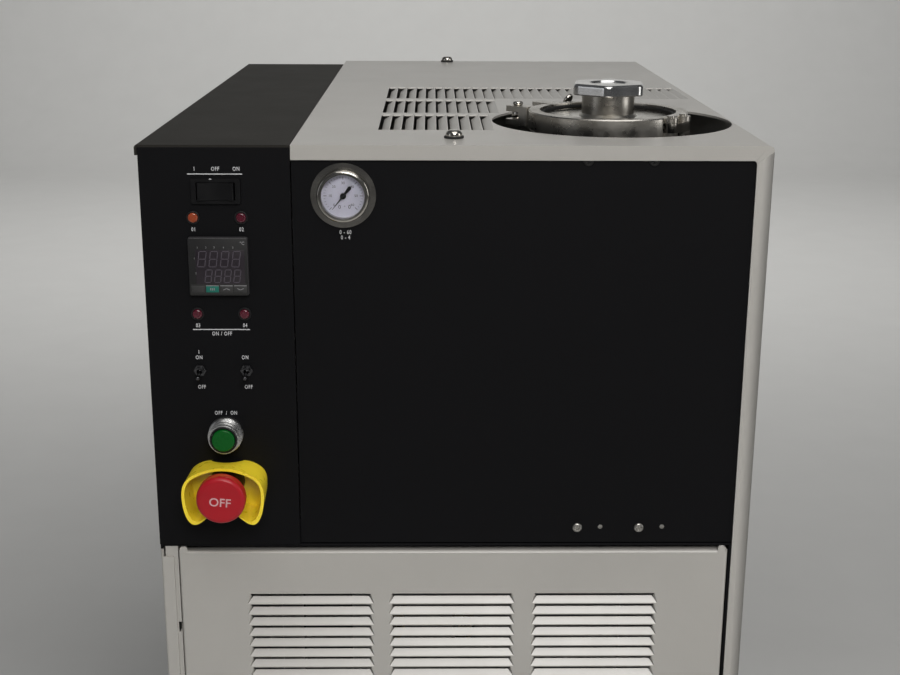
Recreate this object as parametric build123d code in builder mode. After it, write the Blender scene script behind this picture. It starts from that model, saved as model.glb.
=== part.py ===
from build123d import *
from math import cos, sin, radians
import os

# Packaged water chiller: a sheet steel cabinet with a control box along its left side, a louvred lower door,
# and a water reservoir whose clamped lid and filler cap stand in a round opening of the top cover.
# Millimetres. +Z is up, the front faces -Y, and the floor is at Z = 0.
# The origin lies under the middle of the object's overall footprint.

os.makedirs("parts", exist_ok=True)

# Driving dimensions of the cabinet
cabinet_width = 508.0
cabinet_depth = 762.0
cabinet_height = 1016.0
sheet = 2.0
bend_radius = 2.5

# Control box along the left side
box_width = 121.0
box_depth = 711.0
lid_overhang = 2.4
lid_lip = 8.4
panel_bottom_drop = 345.0

# Emergency button reach in front of the control panel, the object's foremost point
front_reach = 48.0

# Planes that everything else is measured from
left = -(cabinet_width + lid_overhang) / 2 + lid_overhang
right = left + cabinet_width
front = -(cabinet_depth + front_reach) / 2 + front_reach
back = front + cabinet_depth
top = cabinet_height
box_right = left + box_width
back_wall = front + box_depth

# Front openings and panels
front_lip = 12.0
side_flange = 13.3
panel_setback = 2.0
seam_gap = 0.6
front_panel_drop = 344.3
door_top_drop = 352.0
door_bottom = 100.0
door_left = left + 15.5
door_right = left + 491.5
skirt_bottom = 45.0

# Pressed louvres: each is hinged along its long edge and cut free along its short one
louvre_pitch = 10.1
louvre_opening = 8.4
louvre_hinge_length = 106.0
louvre_cut_length = 95.0
louvre_run = 5.9
louvre_depth = 3.9
louvre_skin = 1.2
louvre_end = 1.4

# Round opening of the top cover, and the reservoir lid that stands in it
opening_x = left + 396.5
opening_y = front + 156.2
opening_radius = 106.4
lid_x = left + 392.5
lid_y = front + 152.0
ring_radius = 71.5
ring_inner = 61.0
ring_top_rise = 10.0
ring_height = 17.0
ferrule_radius = 63.5
ferrule_edge = 2.4
clamp_angle = -41.0
tank_radius = 100.0
tank_top_drop = 62.0
tank_height = 250.0
tank_wall = 2.0
neck_radius = 23.5
neck_bore = 20.5
neck_top_rise = 29.0
cap_radius = 35.5
cap_corner = 9.0
cap_height = 10.0
cap_top_wall = 4.0
cap_facet_angle = 22.0

# Controls, as distances right of the cabinet's left face and below its top
control_x = 61.2
lamp_offset = 19.3
rocker_drop = 37.0
upper_lamp_drop = 58.6
controller_drop = 98.3
lower_lamp_drop = 138.9
toggle_drop = 187.3
power_drop = 243.0
emergency_drop = 285.0
controller_side = 48.0
controller_depth = 90.0
lamp_radius = 4.0

# Pressure gauge
gauge_x = left + 163.0
gauge_z = top - 40.6
gauge_flange_radius = 26.3
gauge_bezel_radius = 21.2
gauge_dial_radius = 17.6


def keep(piece, name):
    piece.part.label = name
    export_step(piece.part, f"parts/{name}.step")


def block(x0, x1, y0, y1, z0, z1, mode=Mode.ADD):
    with Locations(((x0 + x1) / 2, (y0 + y1) / 2, (z0 + z1) / 2)):
        Box(x1 - x0, y1 - y0, z1 - z0, mode=mode)


def front_plane(x, z, y=None):
    # A plane on the front of the machine, looking out towards -Y, with its X axis to the right
    return Plane(origin=(x, front if y is None else y, z), x_dir=(1, 0, 0), z_dir=(0, -1, 0))


def level_plane(x, y, z):
    return Plane(origin=(x, y, z))


def louvre_shape(side_view, end_inset):
    # A prism along X with the given side view, trimmed to the louvre's tapering outline
    hinge = louvre_hinge_length / 2 - end_inset
    cut = louvre_cut_length / 2 - end_inset
    shoulder = cut + 0.45 * (hinge - cut)
    shoulder_run = 0.78 * louvre_opening
    with BuildPart() as shape:
        with BuildSketch(Plane.YZ):
            Polygon(*side_view, align=None)
        extrude(amount=louvre_hinge_length / 2, both=True)
        with BuildSketch(Plane.XY.offset(-louvre_hinge_length / 2)):
            Polygon(
                (-hinge, 0),
                (hinge, 0),
                (shoulder, shoulder_run),
                (cut, louvre_opening),
                (-cut, louvre_opening),
                (-shoulder, shoulder_run),
                align=None,
            )
        extrude(amount=louvre_hinge_length, mode=Mode.INTERSECT)
    return shape.part


# One louvre, in a frame whose Z points out of the sheet and whose Y runs from its hinge to its cut edge
louvre_scoop = louvre_shape(
    [
        (0, 0),
        (louvre_opening, 0),
        (louvre_opening, -sheet),
        (louvre_run, -louvre_depth - louvre_skin),
        (0, -sheet),
    ],
    0,
)
louvre_gap = louvre_shape(
    [
        (0, 0),
        (0, sheet),
        (louvre_opening, sheet),
        (louvre_opening, -louvre_depth - 2 * sheet),
        (louvre_run, -louvre_depth - 2 * sheet),
        (louvre_run, -louvre_depth),
    ],
    louvre_end,
)


def press_louvres(planes):
    with Locations(*planes):
        add(louvre_scoop)
    with Locations(*planes):
        add(louvre_gap, mode=Mode.SUBTRACT)


# Base frame: a welded pan with an upturned edge all round
pan_left = left + sheet
pan_right = right - sheet
pan_front = front + 18.0
pan_back = back_wall - sheet - 3.0
pan_height = 60.0
pan_sheet = 3.0
with BuildPart() as base_frame:
    block(pan_left, pan_right, pan_front, pan_back, skirt_bottom, skirt_bottom + pan_height)
    block(pan_left + pan_sheet, pan_right - pan_sheet, pan_front + pan_sheet, pan_back - pan_sheet,
          skirt_bottom + pan_sheet, skirt_bottom + pan_height, mode=Mode.SUBTRACT)
keep(base_frame, "base_frame")

# Levelling feet: a round pad, a threaded stem and its lock nut
foot_inset = 60.0
foot_places = {
    "foot_front_left": (pan_left + foot_inset, pan_front + foot_inset),
    "foot_front_right": (pan_right - foot_inset, pan_front + foot_inset),
    "foot_back_left": (pan_left + foot_inset, pan_back - foot_inset),
    "foot_back_right": (pan_right - foot_inset, pan_back - foot_inset),
}
foot_radius = 25.0
foot_pad = 12.0
foot_slope = 12.0
stem_radius = 6.0
nut_radius = 11.0
nut_height = 8.0
for name, (x, y) in foot_places.items():
    with BuildPart() as foot:
        with BuildSketch(level_plane(x, y, 0)):
            Circle(foot_radius)
        extrude(amount=foot_pad, taper=foot_slope)
        with BuildSketch(level_plane(x, y, foot_pad)):
            Circle(stem_radius)
        extrude(amount=skirt_bottom - foot_pad)
        with BuildSketch(level_plane(x, y, skirt_bottom - nut_height)):
            RegularPolygon(nut_radius, 6)
        extrude(amount=nut_height)
    keep(foot, name)

# Lower left side panel with its front flange, which ends a little under the panel's top
side_top = top - panel_bottom_drop - 5.0
side_front_flange = 11.0
side_back_flange = 20.0
flange_top = top - 357.0
with BuildPart() as left_side_panel:
    with BuildSketch(level_plane(0, 0, skirt_bottom)):
        with BuildLine():
            FilletPolyline(
                (left + side_front_flange, front),
                (left, front),
                (left, back_wall),
                (left + side_back_flange, back_wall),
                radius=bend_radius,
            )
            offset(amount=sheet, side=Side.RIGHT)
        make_face()
    extrude(amount=side_top - skirt_bottom)
    block(left + sheet, left + side_front_flange + 1, front - 1, front + sheet + 0.01,
          flange_top, side_top + 1, mode=Mode.SUBTRACT)
keep(left_side_panel, "left_side_panel")

# Top cover and right side, one bent sheet with a front lip and a front flange, welded at the corner
cover_left = box_right + seam_gap / 2
lip_corner = 3.0
lip_setback = 1.0
top_louvre_left = left + 187.9
top_louvre_pitch = 10.04
top_louvre_rows = ((143.1, 10), (261.9, 11), (380.6, 31))
with BuildPart() as cover:
    with BuildSketch(front_plane(0, 0)):
        with BuildLine():
            FilletPolyline(
                (cover_left, top),
                (right, top),
                (right, skirt_bottom),
                radius=bend_radius + sheet,
            )
            offset(amount=sheet, side=Side.RIGHT)
        make_face()
    extrude(amount=-cabinet_depth)
    with BuildSketch(front_plane(0, 0)):
        with BuildLine():
            Polyline(
                (cover_left, top - lip_setback),
                (right - lip_setback, top - lip_setback),
                (right - lip_setback, skirt_bottom),
                (right - side_flange, skirt_bottom),
                (right - side_flange, top - front_lip),
                (cover_left, top - front_lip),
                close=True,
            )
        make_face()
        fillet(vertices().sort_by_distance((right - side_flange, top - front_lip))[0], lip_corner)
    extrude(amount=-sheet)
    with BuildSketch(level_plane(opening_x, opening_y, top - 2 * sheet)):
        Circle(opening_radius)
    extrude(amount=3 * sheet, mode=Mode.SUBTRACT)
    press_louvres([
        Plane(
            origin=(top_louvre_left + louvre_opening + step * top_louvre_pitch, front + row_y, top),
            x_dir=(0, 1, 0),
            z_dir=(0, 0, 1),
        )
        for row_y, count in top_louvre_rows
        for step in range(count)
    ])
keep(cover, "top_and_side_cover")

# Back wall, set in from the ends of the cover, with the water connections and an exhaust louvre field
port_z = skirt_bottom + 180.0
port_places = {"supply_port": left + 180.0, "return_port": left + 280.0}
port_hole = 17.0
gland_x = left + 60.0
gland_hole = 10.0
back_edge_gap = 0.5
back_louvre_top = top - 120.0
back_louvre_columns = (left + 130.0, left + 254.0, left + 378.0)
back_louvre_rows = 14
with BuildPart() as back_panel:
    block(left + sheet, right - sheet, back_wall - sheet, back_wall, side_top, top - sheet - lid_lip)
    block(left + side_back_flange + back_edge_gap, right - sheet, back_wall - sheet, back_wall,
          skirt_bottom + pan_height, side_top)
    for x in port_places.values():
        with Locations(Plane(origin=(x, back_wall, port_z), z_dir=(0, 1, 0))):
            Cylinder(port_hole, 4 * sheet, mode=Mode.SUBTRACT)
    with Locations(Plane(origin=(gland_x, back_wall, port_z), z_dir=(0, 1, 0))):
        Cylinder(gland_hole, 4 * sheet, mode=Mode.SUBTRACT)
    press_louvres([
        Plane(origin=(x, back_wall, back_louvre_top - row * louvre_pitch), x_dir=(-1, 0, 0), z_dir=(0, 1, 0))
        for x in back_louvre_columns
        for row in range(back_louvre_rows)
    ])
keep(back_panel, "back_panel")

# Supply and return connections: hexagon bulkhead couplings with a straight socket
port_reach = 40.0
port_hexagon = 22.0
port_hexagon_height = 16.0
port_radius = 16.0
port_tail = 30.0
port_bore = 10.5
port_socket = 32.0
for name, x in port_places.items():
    port_plane = Plane(origin=(x, back_wall, port_z), z_dir=(0, 1, 0))
    with BuildPart() as port:
        with BuildSketch(port_plane):
            RegularPolygon(port_hexagon, 6)
        extrude(amount=port_hexagon_height)
        with BuildSketch(port_plane):
            Circle(port_radius)
        extrude(amount=port_reach)
        with BuildSketch(port_plane):
            Circle(port_hole)
        extrude(amount=-port_tail)
        with BuildSketch(port_plane.offset(port_reach)):
            Circle(port_bore)
        extrude(amount=-port_socket, mode=Mode.SUBTRACT)
    keep(port, name)

# Cable gland of the mains lead
gland_hexagon = 14.0
gland_hexagon_height = 8.0
gland_dome_radius = 11.0
gland_dome_height = 14.0
gland_bore = 6.0
gland_plane = Plane(origin=(gland_x, back_wall, port_z), z_dir=(0, 1, 0))
with BuildPart() as cable_gland:
    with BuildSketch(gland_plane):
        RegularPolygon(gland_hexagon, 6)
    extrude(amount=gland_hexagon_height)
    with BuildSketch(gland_plane.offset(gland_hexagon_height)):
        Circle(gland_dome_radius)
    extrude(amount=gland_dome_height, taper=8)
    with BuildSketch(gland_plane):
        Circle(gland_hole)
    extrude(amount=-gland_dome_height)
    with BuildSketch(gland_plane.offset(gland_hexagon_height + gland_dome_height)):
        Circle(gland_bore)
    extrude(amount=-20, mode=Mode.SUBTRACT)
keep(cable_gland, "cable_gland")

# Control box: side wall, top lid with a lip over the side, and the wall between box and reservoir
rail_back = front + 30.0
with BuildPart() as control_box_side:
    block(left, left + sheet, front + sheet, back_wall - sheet, side_top, top - sheet - 1.0)
keep(control_box_side, "control_box_side")

with BuildPart() as control_box_cover:
    with BuildSketch(front_plane(0, 0)):
        with BuildLine():
            FilletPolyline(
                (left - lid_overhang, top - lid_lip),
                (left - lid_overhang, top),
                (box_right - seam_gap / 2, top),
                radius=bend_radius,
            )
            offset(amount=sheet, side=Side.RIGHT)
        make_face()
    extrude(amount=-box_depth)
keep(control_box_cover, "control_box_cover")

with BuildPart() as inner_wall:
    block(box_right - sheet, box_right, rail_back, pan_back - pan_sheet,
          skirt_bottom + pan_sheet, top - sheet)
keep(inner_wall, "inner_wall")

# Control panel with a hole for every control
column_x = left + control_x
lamp_x = (column_x - lamp_offset, column_x + lamp_offset)
rocker_cut = (36.0, 17.0)
controller_cut = 45.0
bushing_hole = 3.2
button_hole = 11.0
panel_low = top - panel_bottom_drop
with BuildPart() as control_panel:
    block(left, box_right - seam_gap / 2, front, front + sheet, panel_low, top - sheet)
    for x in lamp_x:
        for drop in (upper_lamp_drop, lower_lamp_drop):
            with Locations(front_plane(x, top - drop)):
                Cylinder(lamp_radius, 4 * sheet, mode=Mode.SUBTRACT)
        with Locations(front_plane(x, top - toggle_drop)):
            Cylinder(bushing_hole, 4 * sheet, mode=Mode.SUBTRACT)
    with Locations(front_plane(column_x, top - rocker_drop)):
        Box(rocker_cut[0], rocker_cut[1], 4 * sheet, mode=Mode.SUBTRACT)
    with Locations(front_plane(column_x, top - controller_drop)):
        Box(controller_cut, controller_cut, 4 * sheet, mode=Mode.SUBTRACT)
    for drop in (power_drop, emergency_drop):
        with Locations(front_plane(column_x, top - drop)):
            Cylinder(button_hole, 4 * sheet, mode=Mode.SUBTRACT)
keep(control_panel, "control_panel")

# Black front panel beside the control box, with the gauge hole
gauge_can_radius = 20.0
with BuildPart() as front_panel:
    block(box_right + seam_gap, right - sheet - 1, front + panel_setback, front + panel_setback + sheet,
          top - front_panel_drop, top - sheet - 1)
    with Locations(front_plane(gauge_x, gauge_z)):
        Cylinder(gauge_can_radius, 8 * sheet, mode=Mode.SUBTRACT)
keep(front_panel, "front_panel")

# Rail across the front: its narrow edge shows under the panels, and its upstand backs them
rail_front = front + panel_setback + sheet
rail_low = top - 347.6
rail_upstand = 25.0
with BuildPart() as front_rail:
    block(left + sheet, right - sheet, rail_front, rail_front + sheet, rail_low, rail_low + rail_upstand)
    block(left + sheet, right - sheet, front + panel_setback + 0.2, rail_back, rail_low, rail_low + sheet)
keep(front_rail, "front_rail")

# Posts at both sides of the door opening
post_back = front + 17.0
left_post_right = left + 14.7
latch_slot_top = top - 420.0
latch_slot_height = 10.0
post_bottom = skirt_bottom + pan_height
with BuildPart() as left_post:
    block(left + 2 * sheet, left_post_right, front + sheet, front + 2 * sheet, post_bottom, rail_low)
    block(left_post_right - sheet, left_post_right, front + sheet, post_back, post_bottom, rail_low)
    block(left + 12.0, left_post_right + 1, front, front + 5 * sheet, latch_slot_top - latch_slot_height,
          latch_slot_top, mode=Mode.SUBTRACT)
keep(left_post, "left_post")

right_post_left = left + 492.6
with BuildPart() as right_post:
    block(right_post_left, right - sheet, front + sheet, front + 2 * sheet, post_bottom, rail_low)
    block(right_post_left, right_post_left + sheet, front + sheet, post_back, post_bottom, rail_low)
keep(right_post, "right_post")

# Kick plate under the door
kick_right = right - side_flange - 0.5
with BuildPart() as kick_plate:
    block(left + 11.5, kick_right, front + 1.0, front + 1.0 + sheet, skirt_bottom, door_bottom - 3.0)
    block(left + 11.5, kick_right, front + 1.0, pan_front, skirt_bottom, skirt_bottom + sheet)
keep(kick_plate, "kick_plate")

# Lower door: a shallow tray with rounded bends, two lift-off lugs and three columns of louvres
door_top = top - door_top_drop
door_depth = 18.0
lug_size = (6.4, 4.4)
lug_places = (door_left + 4.2, door_right - 5.4)
door_louvre_top = top - 391.7
door_louvre_columns = (left + 130.0, left + 253.3, left + 377.0)
door_louvre_rows = 48
with BuildPart() as louvred_door:
    block(door_left, door_right, front, front + door_depth, door_bottom, door_top)
    fillet(faces().sort_by(Axis.Y)[0].edges(), bend_radius)
    block(door_left + sheet, door_right - sheet, front + sheet, front + door_depth,
          door_bottom + sheet, door_top - sheet, mode=Mode.SUBTRACT)
    press_louvres([
        front_plane(x, door_louvre_top - louvre_opening - row * louvre_pitch)
        for x in door_louvre_columns
        for row in range(door_louvre_rows)
    ])
    for x in lug_places:
        with BuildSketch(front_plane(x, door_top, front + sheet)):
            with Locations((0, lug_size[1] / 2 - bend_radius)):
                Rectangle(lug_size[0], lug_size[1] + 2 * bend_radius)
            fillet(vertices().group_by(Axis.Y)[-1], 2.4)
        extrude(amount=sheet - 0.2)
keep(louvred_door, "louvred_door")

# Reservoir: a stainless vessel on a shelf, with a neck whose ferrule carries the lid
ring_low = top + ring_top_rise - ring_height
seat_z = ring_low + ring_height / 2
tank_top = top - tank_top_drop
tank_low = tank_top - tank_height
mouth_radius = 52.0
dish_rise = 6.0
ferrule_root = 57.0
ferrule_slope = 0.09
ferrule_inner = ferrule_edge + ferrule_slope * (ferrule_radius - ferrule_root)
section_plane = Plane(origin=(lid_x, lid_y, 0), x_dir=(1, 0, 0), z_dir=(0, -1, 0))
lid_axis = Axis((lid_x, lid_y, 0), (0, 0, 1))

with BuildPart() as reservoir_tank:
    with BuildSketch(level_plane(lid_x, lid_y, tank_low + tank_wall)):
        Circle(tank_radius)
        Circle(tank_radius - tank_wall, mode=Mode.SUBTRACT)
    extrude(amount=tank_height - 2 * tank_wall)
keep(reservoir_tank, "reservoir_tank")

with BuildPart() as tank_bottom:
    with BuildSketch(level_plane(lid_x, lid_y, tank_low)):
        Circle(tank_radius)
    extrude(amount=tank_wall)
keep(tank_bottom, "tank_bottom")

with BuildPart() as tank_shoulder:
    with BuildSketch(section_plane):
        Polygon(
            (tank_radius, tank_top - tank_wall),
            (tank_radius, tank_top),
            (tank_radius - 8, tank_top + 2),
            (mouth_radius + tank_wall, tank_top + dish_rise),
            (mouth_radius + tank_wall, tank_top + dish_rise - tank_wall),
            (tank_radius - 8, tank_top + 2 - tank_wall),
            align=None,
        )
    revolve(axis=lid_axis)
keep(tank_shoulder, "tank_shoulder")

with BuildPart() as tank_neck:
    with BuildSketch(section_plane):
        Polygon(
            (mouth_radius, tank_top + dish_rise - tank_wall),
            (mouth_radius + tank_wall, tank_top + dish_rise - tank_wall),
            (mouth_radius + tank_wall, seat_z - ferrule_inner - 2),
            (ferrule_root, seat_z - ferrule_inner),
            (ferrule_radius, seat_z - ferrule_edge),
            (ferrule_radius, seat_z),
            (mouth_radius, seat_z),
            align=None,
        )
    revolve(axis=lid_axis)
keep(tank_neck, "tank_neck")

shelf_front = front + 40.0
shelf_back = front + 270.0
shelf_flange = 30.0
shelf_low = tank_low - sheet
with BuildPart() as tank_shelf:
    block(box_right, right - sheet, shelf_front, shelf_back, shelf_low, tank_low)
    for y in (shelf_front, shelf_back - sheet):
        block(box_right, right - sheet, y, y + sheet, tank_low - shelf_flange, shelf_low)
keep(tank_shelf, "tank_shelf")

# Lid: a disc with a stepped rim that meets the tank's ferrule
lid_level = top + 5.2
with BuildPart() as tank_lid:
    with BuildSketch(section_plane):
        Polygon(
            (neck_bore, seat_z),
            (ferrule_radius, seat_z),
            (ferrule_radius, seat_z + ferrule_edge),
            (ferrule_root, seat_z + ferrule_inner),
            (ferrule_root - 1, lid_level),
            (neck_bore, lid_level),
            align=None,
        )
    revolve(axis=lid_axis)
keep(tank_lid, "tank_lid")

# Clamp: two half rings with a groove for the ferrules, forked for a hinge link at one end
# and with lugs for a swing bolt and its wing nut at the other
clamp_frame = Plane(
    origin=(lid_x, lid_y, 0),
    x_dir=(cos(radians(clamp_angle)), sin(radians(clamp_angle)), 0),
    z_dir=(0, 0, 1),
)
clamp_section = Plane(
    origin=(lid_x, lid_y, 0),
    x_dir=clamp_frame.x_dir,
    z_dir=clamp_frame.y_dir * -1,
)
groove_bottom = ferrule_radius + 1.3
groove_play = 0.05
groove_edge = ferrule_edge + ferrule_slope * (ferrule_radius - groove_bottom) + groove_play
groove_mouth = ferrule_edge + ferrule_slope * (ferrule_radius - ring_inner) + groove_play
ring_half = ring_height / 2
clamp_gap = 1.5
lug_outer = 90.0
bolt_x = -81.0
bolt_radius = 3.0
pivot_y = -27.0
fork_slot = 7.0
lug_slot_reach = 10.5
link_height = 8.0
link_radius = 6.5
hinge_pin_x = ring_radius + 0.5
hinge_pin_y = 10.0
pin_half = 2.0
half_ring_lugs = {"clamp_front_half": (-1, -35.0, -19.0), "clamp_back_half": (1, 5.0, 19.0)}
for name, (side, lug_start, lug_end) in half_ring_lugs.items():
    with BuildPart(clamp_frame) as half:
        with BuildSketch(clamp_section):
            Polygon(
                (ring_inner, seat_z + groove_mouth),
                (ring_inner, seat_z + ring_half),
                (ring_radius - 1, seat_z + ring_half),
                (ring_radius, seat_z + ring_half - 1),
                (ring_radius, seat_z - ring_half + 1),
                (ring_radius - 1, seat_z - ring_half),
                (ring_inner, seat_z - ring_half),
                (ring_inner, seat_z - groove_mouth),
                (groove_bottom, seat_z - groove_edge),
                (groove_bottom, seat_z + groove_edge),
                align=None,
            )
        revolve(axis=lid_axis)
        with BuildSketch(clamp_frame.offset(seat_z - ring_half)):
            with Locations((-(lug_outer + ring_inner + 4) / 2, (lug_start + lug_end) / 2)):
                RectangleRounded(lug_outer - ring_inner - 4, lug_end - lug_start, 3)
            with Locations((hinge_pin_x, side * hinge_pin_y)):
                Circle(link_radius)
            Circle(ring_inner + 4, mode=Mode.SUBTRACT)
        extrude(amount=ring_height)
        with Locations((0, -side * (200 - clamp_gap), seat_z)):
            Box(400, 400, 4 * ring_height, mode=Mode.SUBTRACT)
        with Locations((hinge_pin_x, 0, seat_z)):
            Box(2 * link_radius + 8, 2 * (hinge_pin_y + link_radius) + 2, link_height + 0.4,
                mode=Mode.SUBTRACT)
        with Locations((bolt_x - 4, (lug_start + lug_end) / 2, seat_z)):
            Box(2 * lug_slot_reach, 3 * lug_slot_reach, fork_slot, mode=Mode.SUBTRACT)
        with Locations((hinge_pin_x, side * hinge_pin_y, seat_z)):
            Cylinder(pin_half, 4 * ring_height, mode=Mode.SUBTRACT)
        if side < 0:
            with Locations((bolt_x, pivot_y, seat_z)):
                Cylinder(pin_half, 4 * ring_height, mode=Mode.SUBTRACT)
    keep(half, name)

# Hinge link of the clamp with its two headed pins
pin_radius = 1.95
pin_head_radius = 3.4
pin_head_height = 1.8
with BuildPart(clamp_frame) as clamp_hinge:
    with BuildSketch(clamp_frame.offset(seat_z - link_height / 2)):
        with Locations((hinge_pin_x + 0.6, 0)):
            SlotCenterToCenter(2 * hinge_pin_y, 2 * link_radius - 1.2, rotation=90)
    extrude(amount=link_height)
    for side in (-1, 1):
        with Locations((hinge_pin_x, side * hinge_pin_y, seat_z)):
            Cylinder(pin_radius, ring_height + 2 * pin_head_height)
        for end in (-1, 1):
            head_z = seat_z + end * (ring_height + pin_head_height) / 2
            with Locations((hinge_pin_x, side * hinge_pin_y, head_z)):
                Cylinder(pin_head_radius, pin_head_height)
keep(clamp_hinge, "clamp_hinge")

# Swing bolt: an eye on a pin with a round knob, a threaded shank and a wing nut
bolt_tip = 44.0
nut_start = 19.2
nut_length = 10.0
wing_reach = 15.0
knob_radius = 4.6
knob_height = 4.0
bolt_plane = Plane(
    origin=clamp_frame.from_local_coords(Vector(bolt_x, pivot_y, seat_z)),
    x_dir=clamp_frame.x_dir,
    z_dir=clamp_frame.y_dir,
)
with BuildPart(clamp_frame) as clamp_bolt:
    with Locations((bolt_x, pivot_y, seat_z + ring_half)):
        Cylinder(knob_radius, knob_height, align=(Align.CENTER, Align.CENTER, Align.MIN))
    fillet(faces().sort_by(Axis.Z)[-1].edges(), 2.2)
    with Locations((bolt_x, pivot_y, seat_z)):
        Cylinder(5.5, fork_slot - 0.6)
        Cylinder(pin_radius, ring_height + 2)
    with BuildSketch(bolt_plane):
        Circle(bolt_radius)
    extrude(amount=bolt_tip - pivot_y)
    with BuildSketch(bolt_plane.offset(nut_start - pivot_y)):
        Circle(6.2)
    extrude(amount=nut_length, taper=8)
    with BuildSketch(Plane(origin=clamp_frame.from_local_coords(Vector(bolt_x + 1.5, 0, seat_z)),
                           x_dir=clamp_frame.y_dir, z_dir=clamp_frame.x_dir * -1)):
        with BuildLine():
            Polyline(
                (nut_start, -4.5),
                (nut_start + 4, -wing_reach),
                (nut_start + 11, -wing_reach + 1),
                (nut_start + 8, -4),
                (nut_start + 8, 4),
                (nut_start + 11, wing_reach - 1),
                (nut_start + 4, wing_reach),
                (nut_start, 4.5),
                close=True,
            )
        make_face()
        fillet(vertices().filter_by(lambda v: abs(v.Y) > 10), 2.2)
    extrude(amount=3)
keep(clamp_bolt, "clamp_bolt")

# Filler neck with its weld, gasket and six-sided cap with a dished top
neck_top = top + neck_top_rise
neck_weld = 2.5
with BuildPart() as filler_neck:
    with BuildSketch(level_plane(lid_x, lid_y, lid_level)):
        Circle(neck_radius + neck_weld)
    extrude(amount=neck_weld, taper=44)
    with BuildSketch(level_plane(lid_x, lid_y, lid_level)):
        Circle(neck_radius)
    extrude(amount=neck_top - lid_level)
    with BuildSketch(level_plane(lid_x, lid_y, lid_level)):
        Circle(neck_bore)
    extrude(amount=neck_top, mode=Mode.SUBTRACT)
keep(filler_neck, "filler_neck")

gasket_thickness = 1.6
with BuildPart() as cap_gasket:
    with BuildSketch(level_plane(lid_x, lid_y, neck_top)):
        Circle(neck_radius)
    extrude(amount=gasket_thickness)
keep(cap_gasket, "cap_gasket")

cap_top = neck_top + gasket_thickness + cap_top_wall
dish_radius = 17.0
dish_depth = 1.2
with BuildPart() as filler_cap:
    with BuildSketch(level_plane(lid_x, lid_y, cap_top - cap_height)):
        RegularPolygon(cap_radius, 6, rotation=cap_facet_angle)
        fillet(vertices(), cap_corner)
    extrude(amount=cap_height)
    fillet(faces().sort_by(Axis.Z)[-1].edges(), 2.8)
    fillet(faces().sort_by(Axis.Z)[0].edges(), 1.2)
    with BuildSketch(level_plane(lid_x, lid_y, cap_top)):
        Circle(dish_radius)
    extrude(amount=-dish_depth, taper=35, mode=Mode.SUBTRACT)
    with BuildSketch(level_plane(lid_x, lid_y, cap_top - cap_height)):
        Circle(neck_radius + 0.6)
    extrude(amount=cap_height - cap_top_wall, mode=Mode.SUBTRACT)
keep(filler_cap, "filler_cap")

# Three-position rocker switch in its bezel
rocker_z = top - rocker_drop
bezel_size = (40.0, 21.0)
bezel_proud = 2.5
pocket_size = (31.4, 14.6)
pocket_depth = 12.0
rocker_pivot_y = front + 3.0
rocker_pin_radius = 1.2
with BuildPart() as rocker_bezel:
    with BuildSketch(front_plane(column_x, rocker_z)):
        RectangleRounded(bezel_size[0], bezel_size[1], 2)
    extrude(amount=bezel_proud, taper=8)
    with BuildSketch(front_plane(column_x, rocker_z)):
        Rectangle(rocker_cut[0], rocker_cut[1])
    extrude(amount=-22)
    with BuildSketch(front_plane(column_x, rocker_z, front - bezel_proud)):
        Rectangle(pocket_size[0], pocket_size[1])
    extrude(amount=-(bezel_proud + pocket_depth), mode=Mode.SUBTRACT)
    with Locations((column_x, rocker_pivot_y, rocker_z)):
        Cylinder(rocker_pin_radius + 0.05, pocket_size[1] + 1.6, mode=Mode.SUBTRACT)
keep(rocker_bezel, "rocker_bezel")

rocker_height = 14.0
with BuildPart() as selector_rocker:
    with BuildSketch(level_plane(column_x, rocker_pivot_y, rocker_z - rocker_height / 2)):
        with BuildLine():
            ThreePointArc((-14.6, -8.6), (0, -5.6), (14.6, -8.6))
            Polyline((14.6, -8.6), (14.2, 2.0), (4.0, 5.0), (-4.0, 5.0), (-14.2, 2.0), (-14.6, -8.6))
        make_face()
    extrude(amount=rocker_height)
    fillet(edges().filter_by(Axis.Z).group_by(Axis.Y)[0], 0.8)
    with Locations((column_x, rocker_pivot_y, rocker_z)):
        Cylinder(rocker_pin_radius, rocker_height + 1.6)
keep(selector_rocker, "selector_rocker")

# Indicator lamps: a domed lens with a flange, on a stem through the panel
lamps = {
    "level_lamp": (lamp_x[0], upper_lamp_drop),
    "fault_lamp": (lamp_x[1], upper_lamp_drop),
    "high_pressure_lamp": (lamp_x[0], lower_lamp_drop),
    "low_pressure_lamp": (lamp_x[1], lower_lamp_drop),
}
lamp_stem = 16.0
lamp_proud = 2.6
lamp_flange = 0.8
for name, (x, drop) in lamps.items():
    with BuildPart() as lamp:
        with BuildSketch(front_plane(x, top - drop, front + lamp_stem)):
            Circle(lamp_radius)
        extrude(amount=lamp_stem + lamp_proud)
        fillet(faces().sort_by(Axis.Y)[0].edges(), 1.4)
        with BuildSketch(front_plane(x, top - drop, front)):
            Circle(lamp_radius + 0.9)
        extrude(amount=lamp_flange)
    keep(lamp, name)

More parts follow.
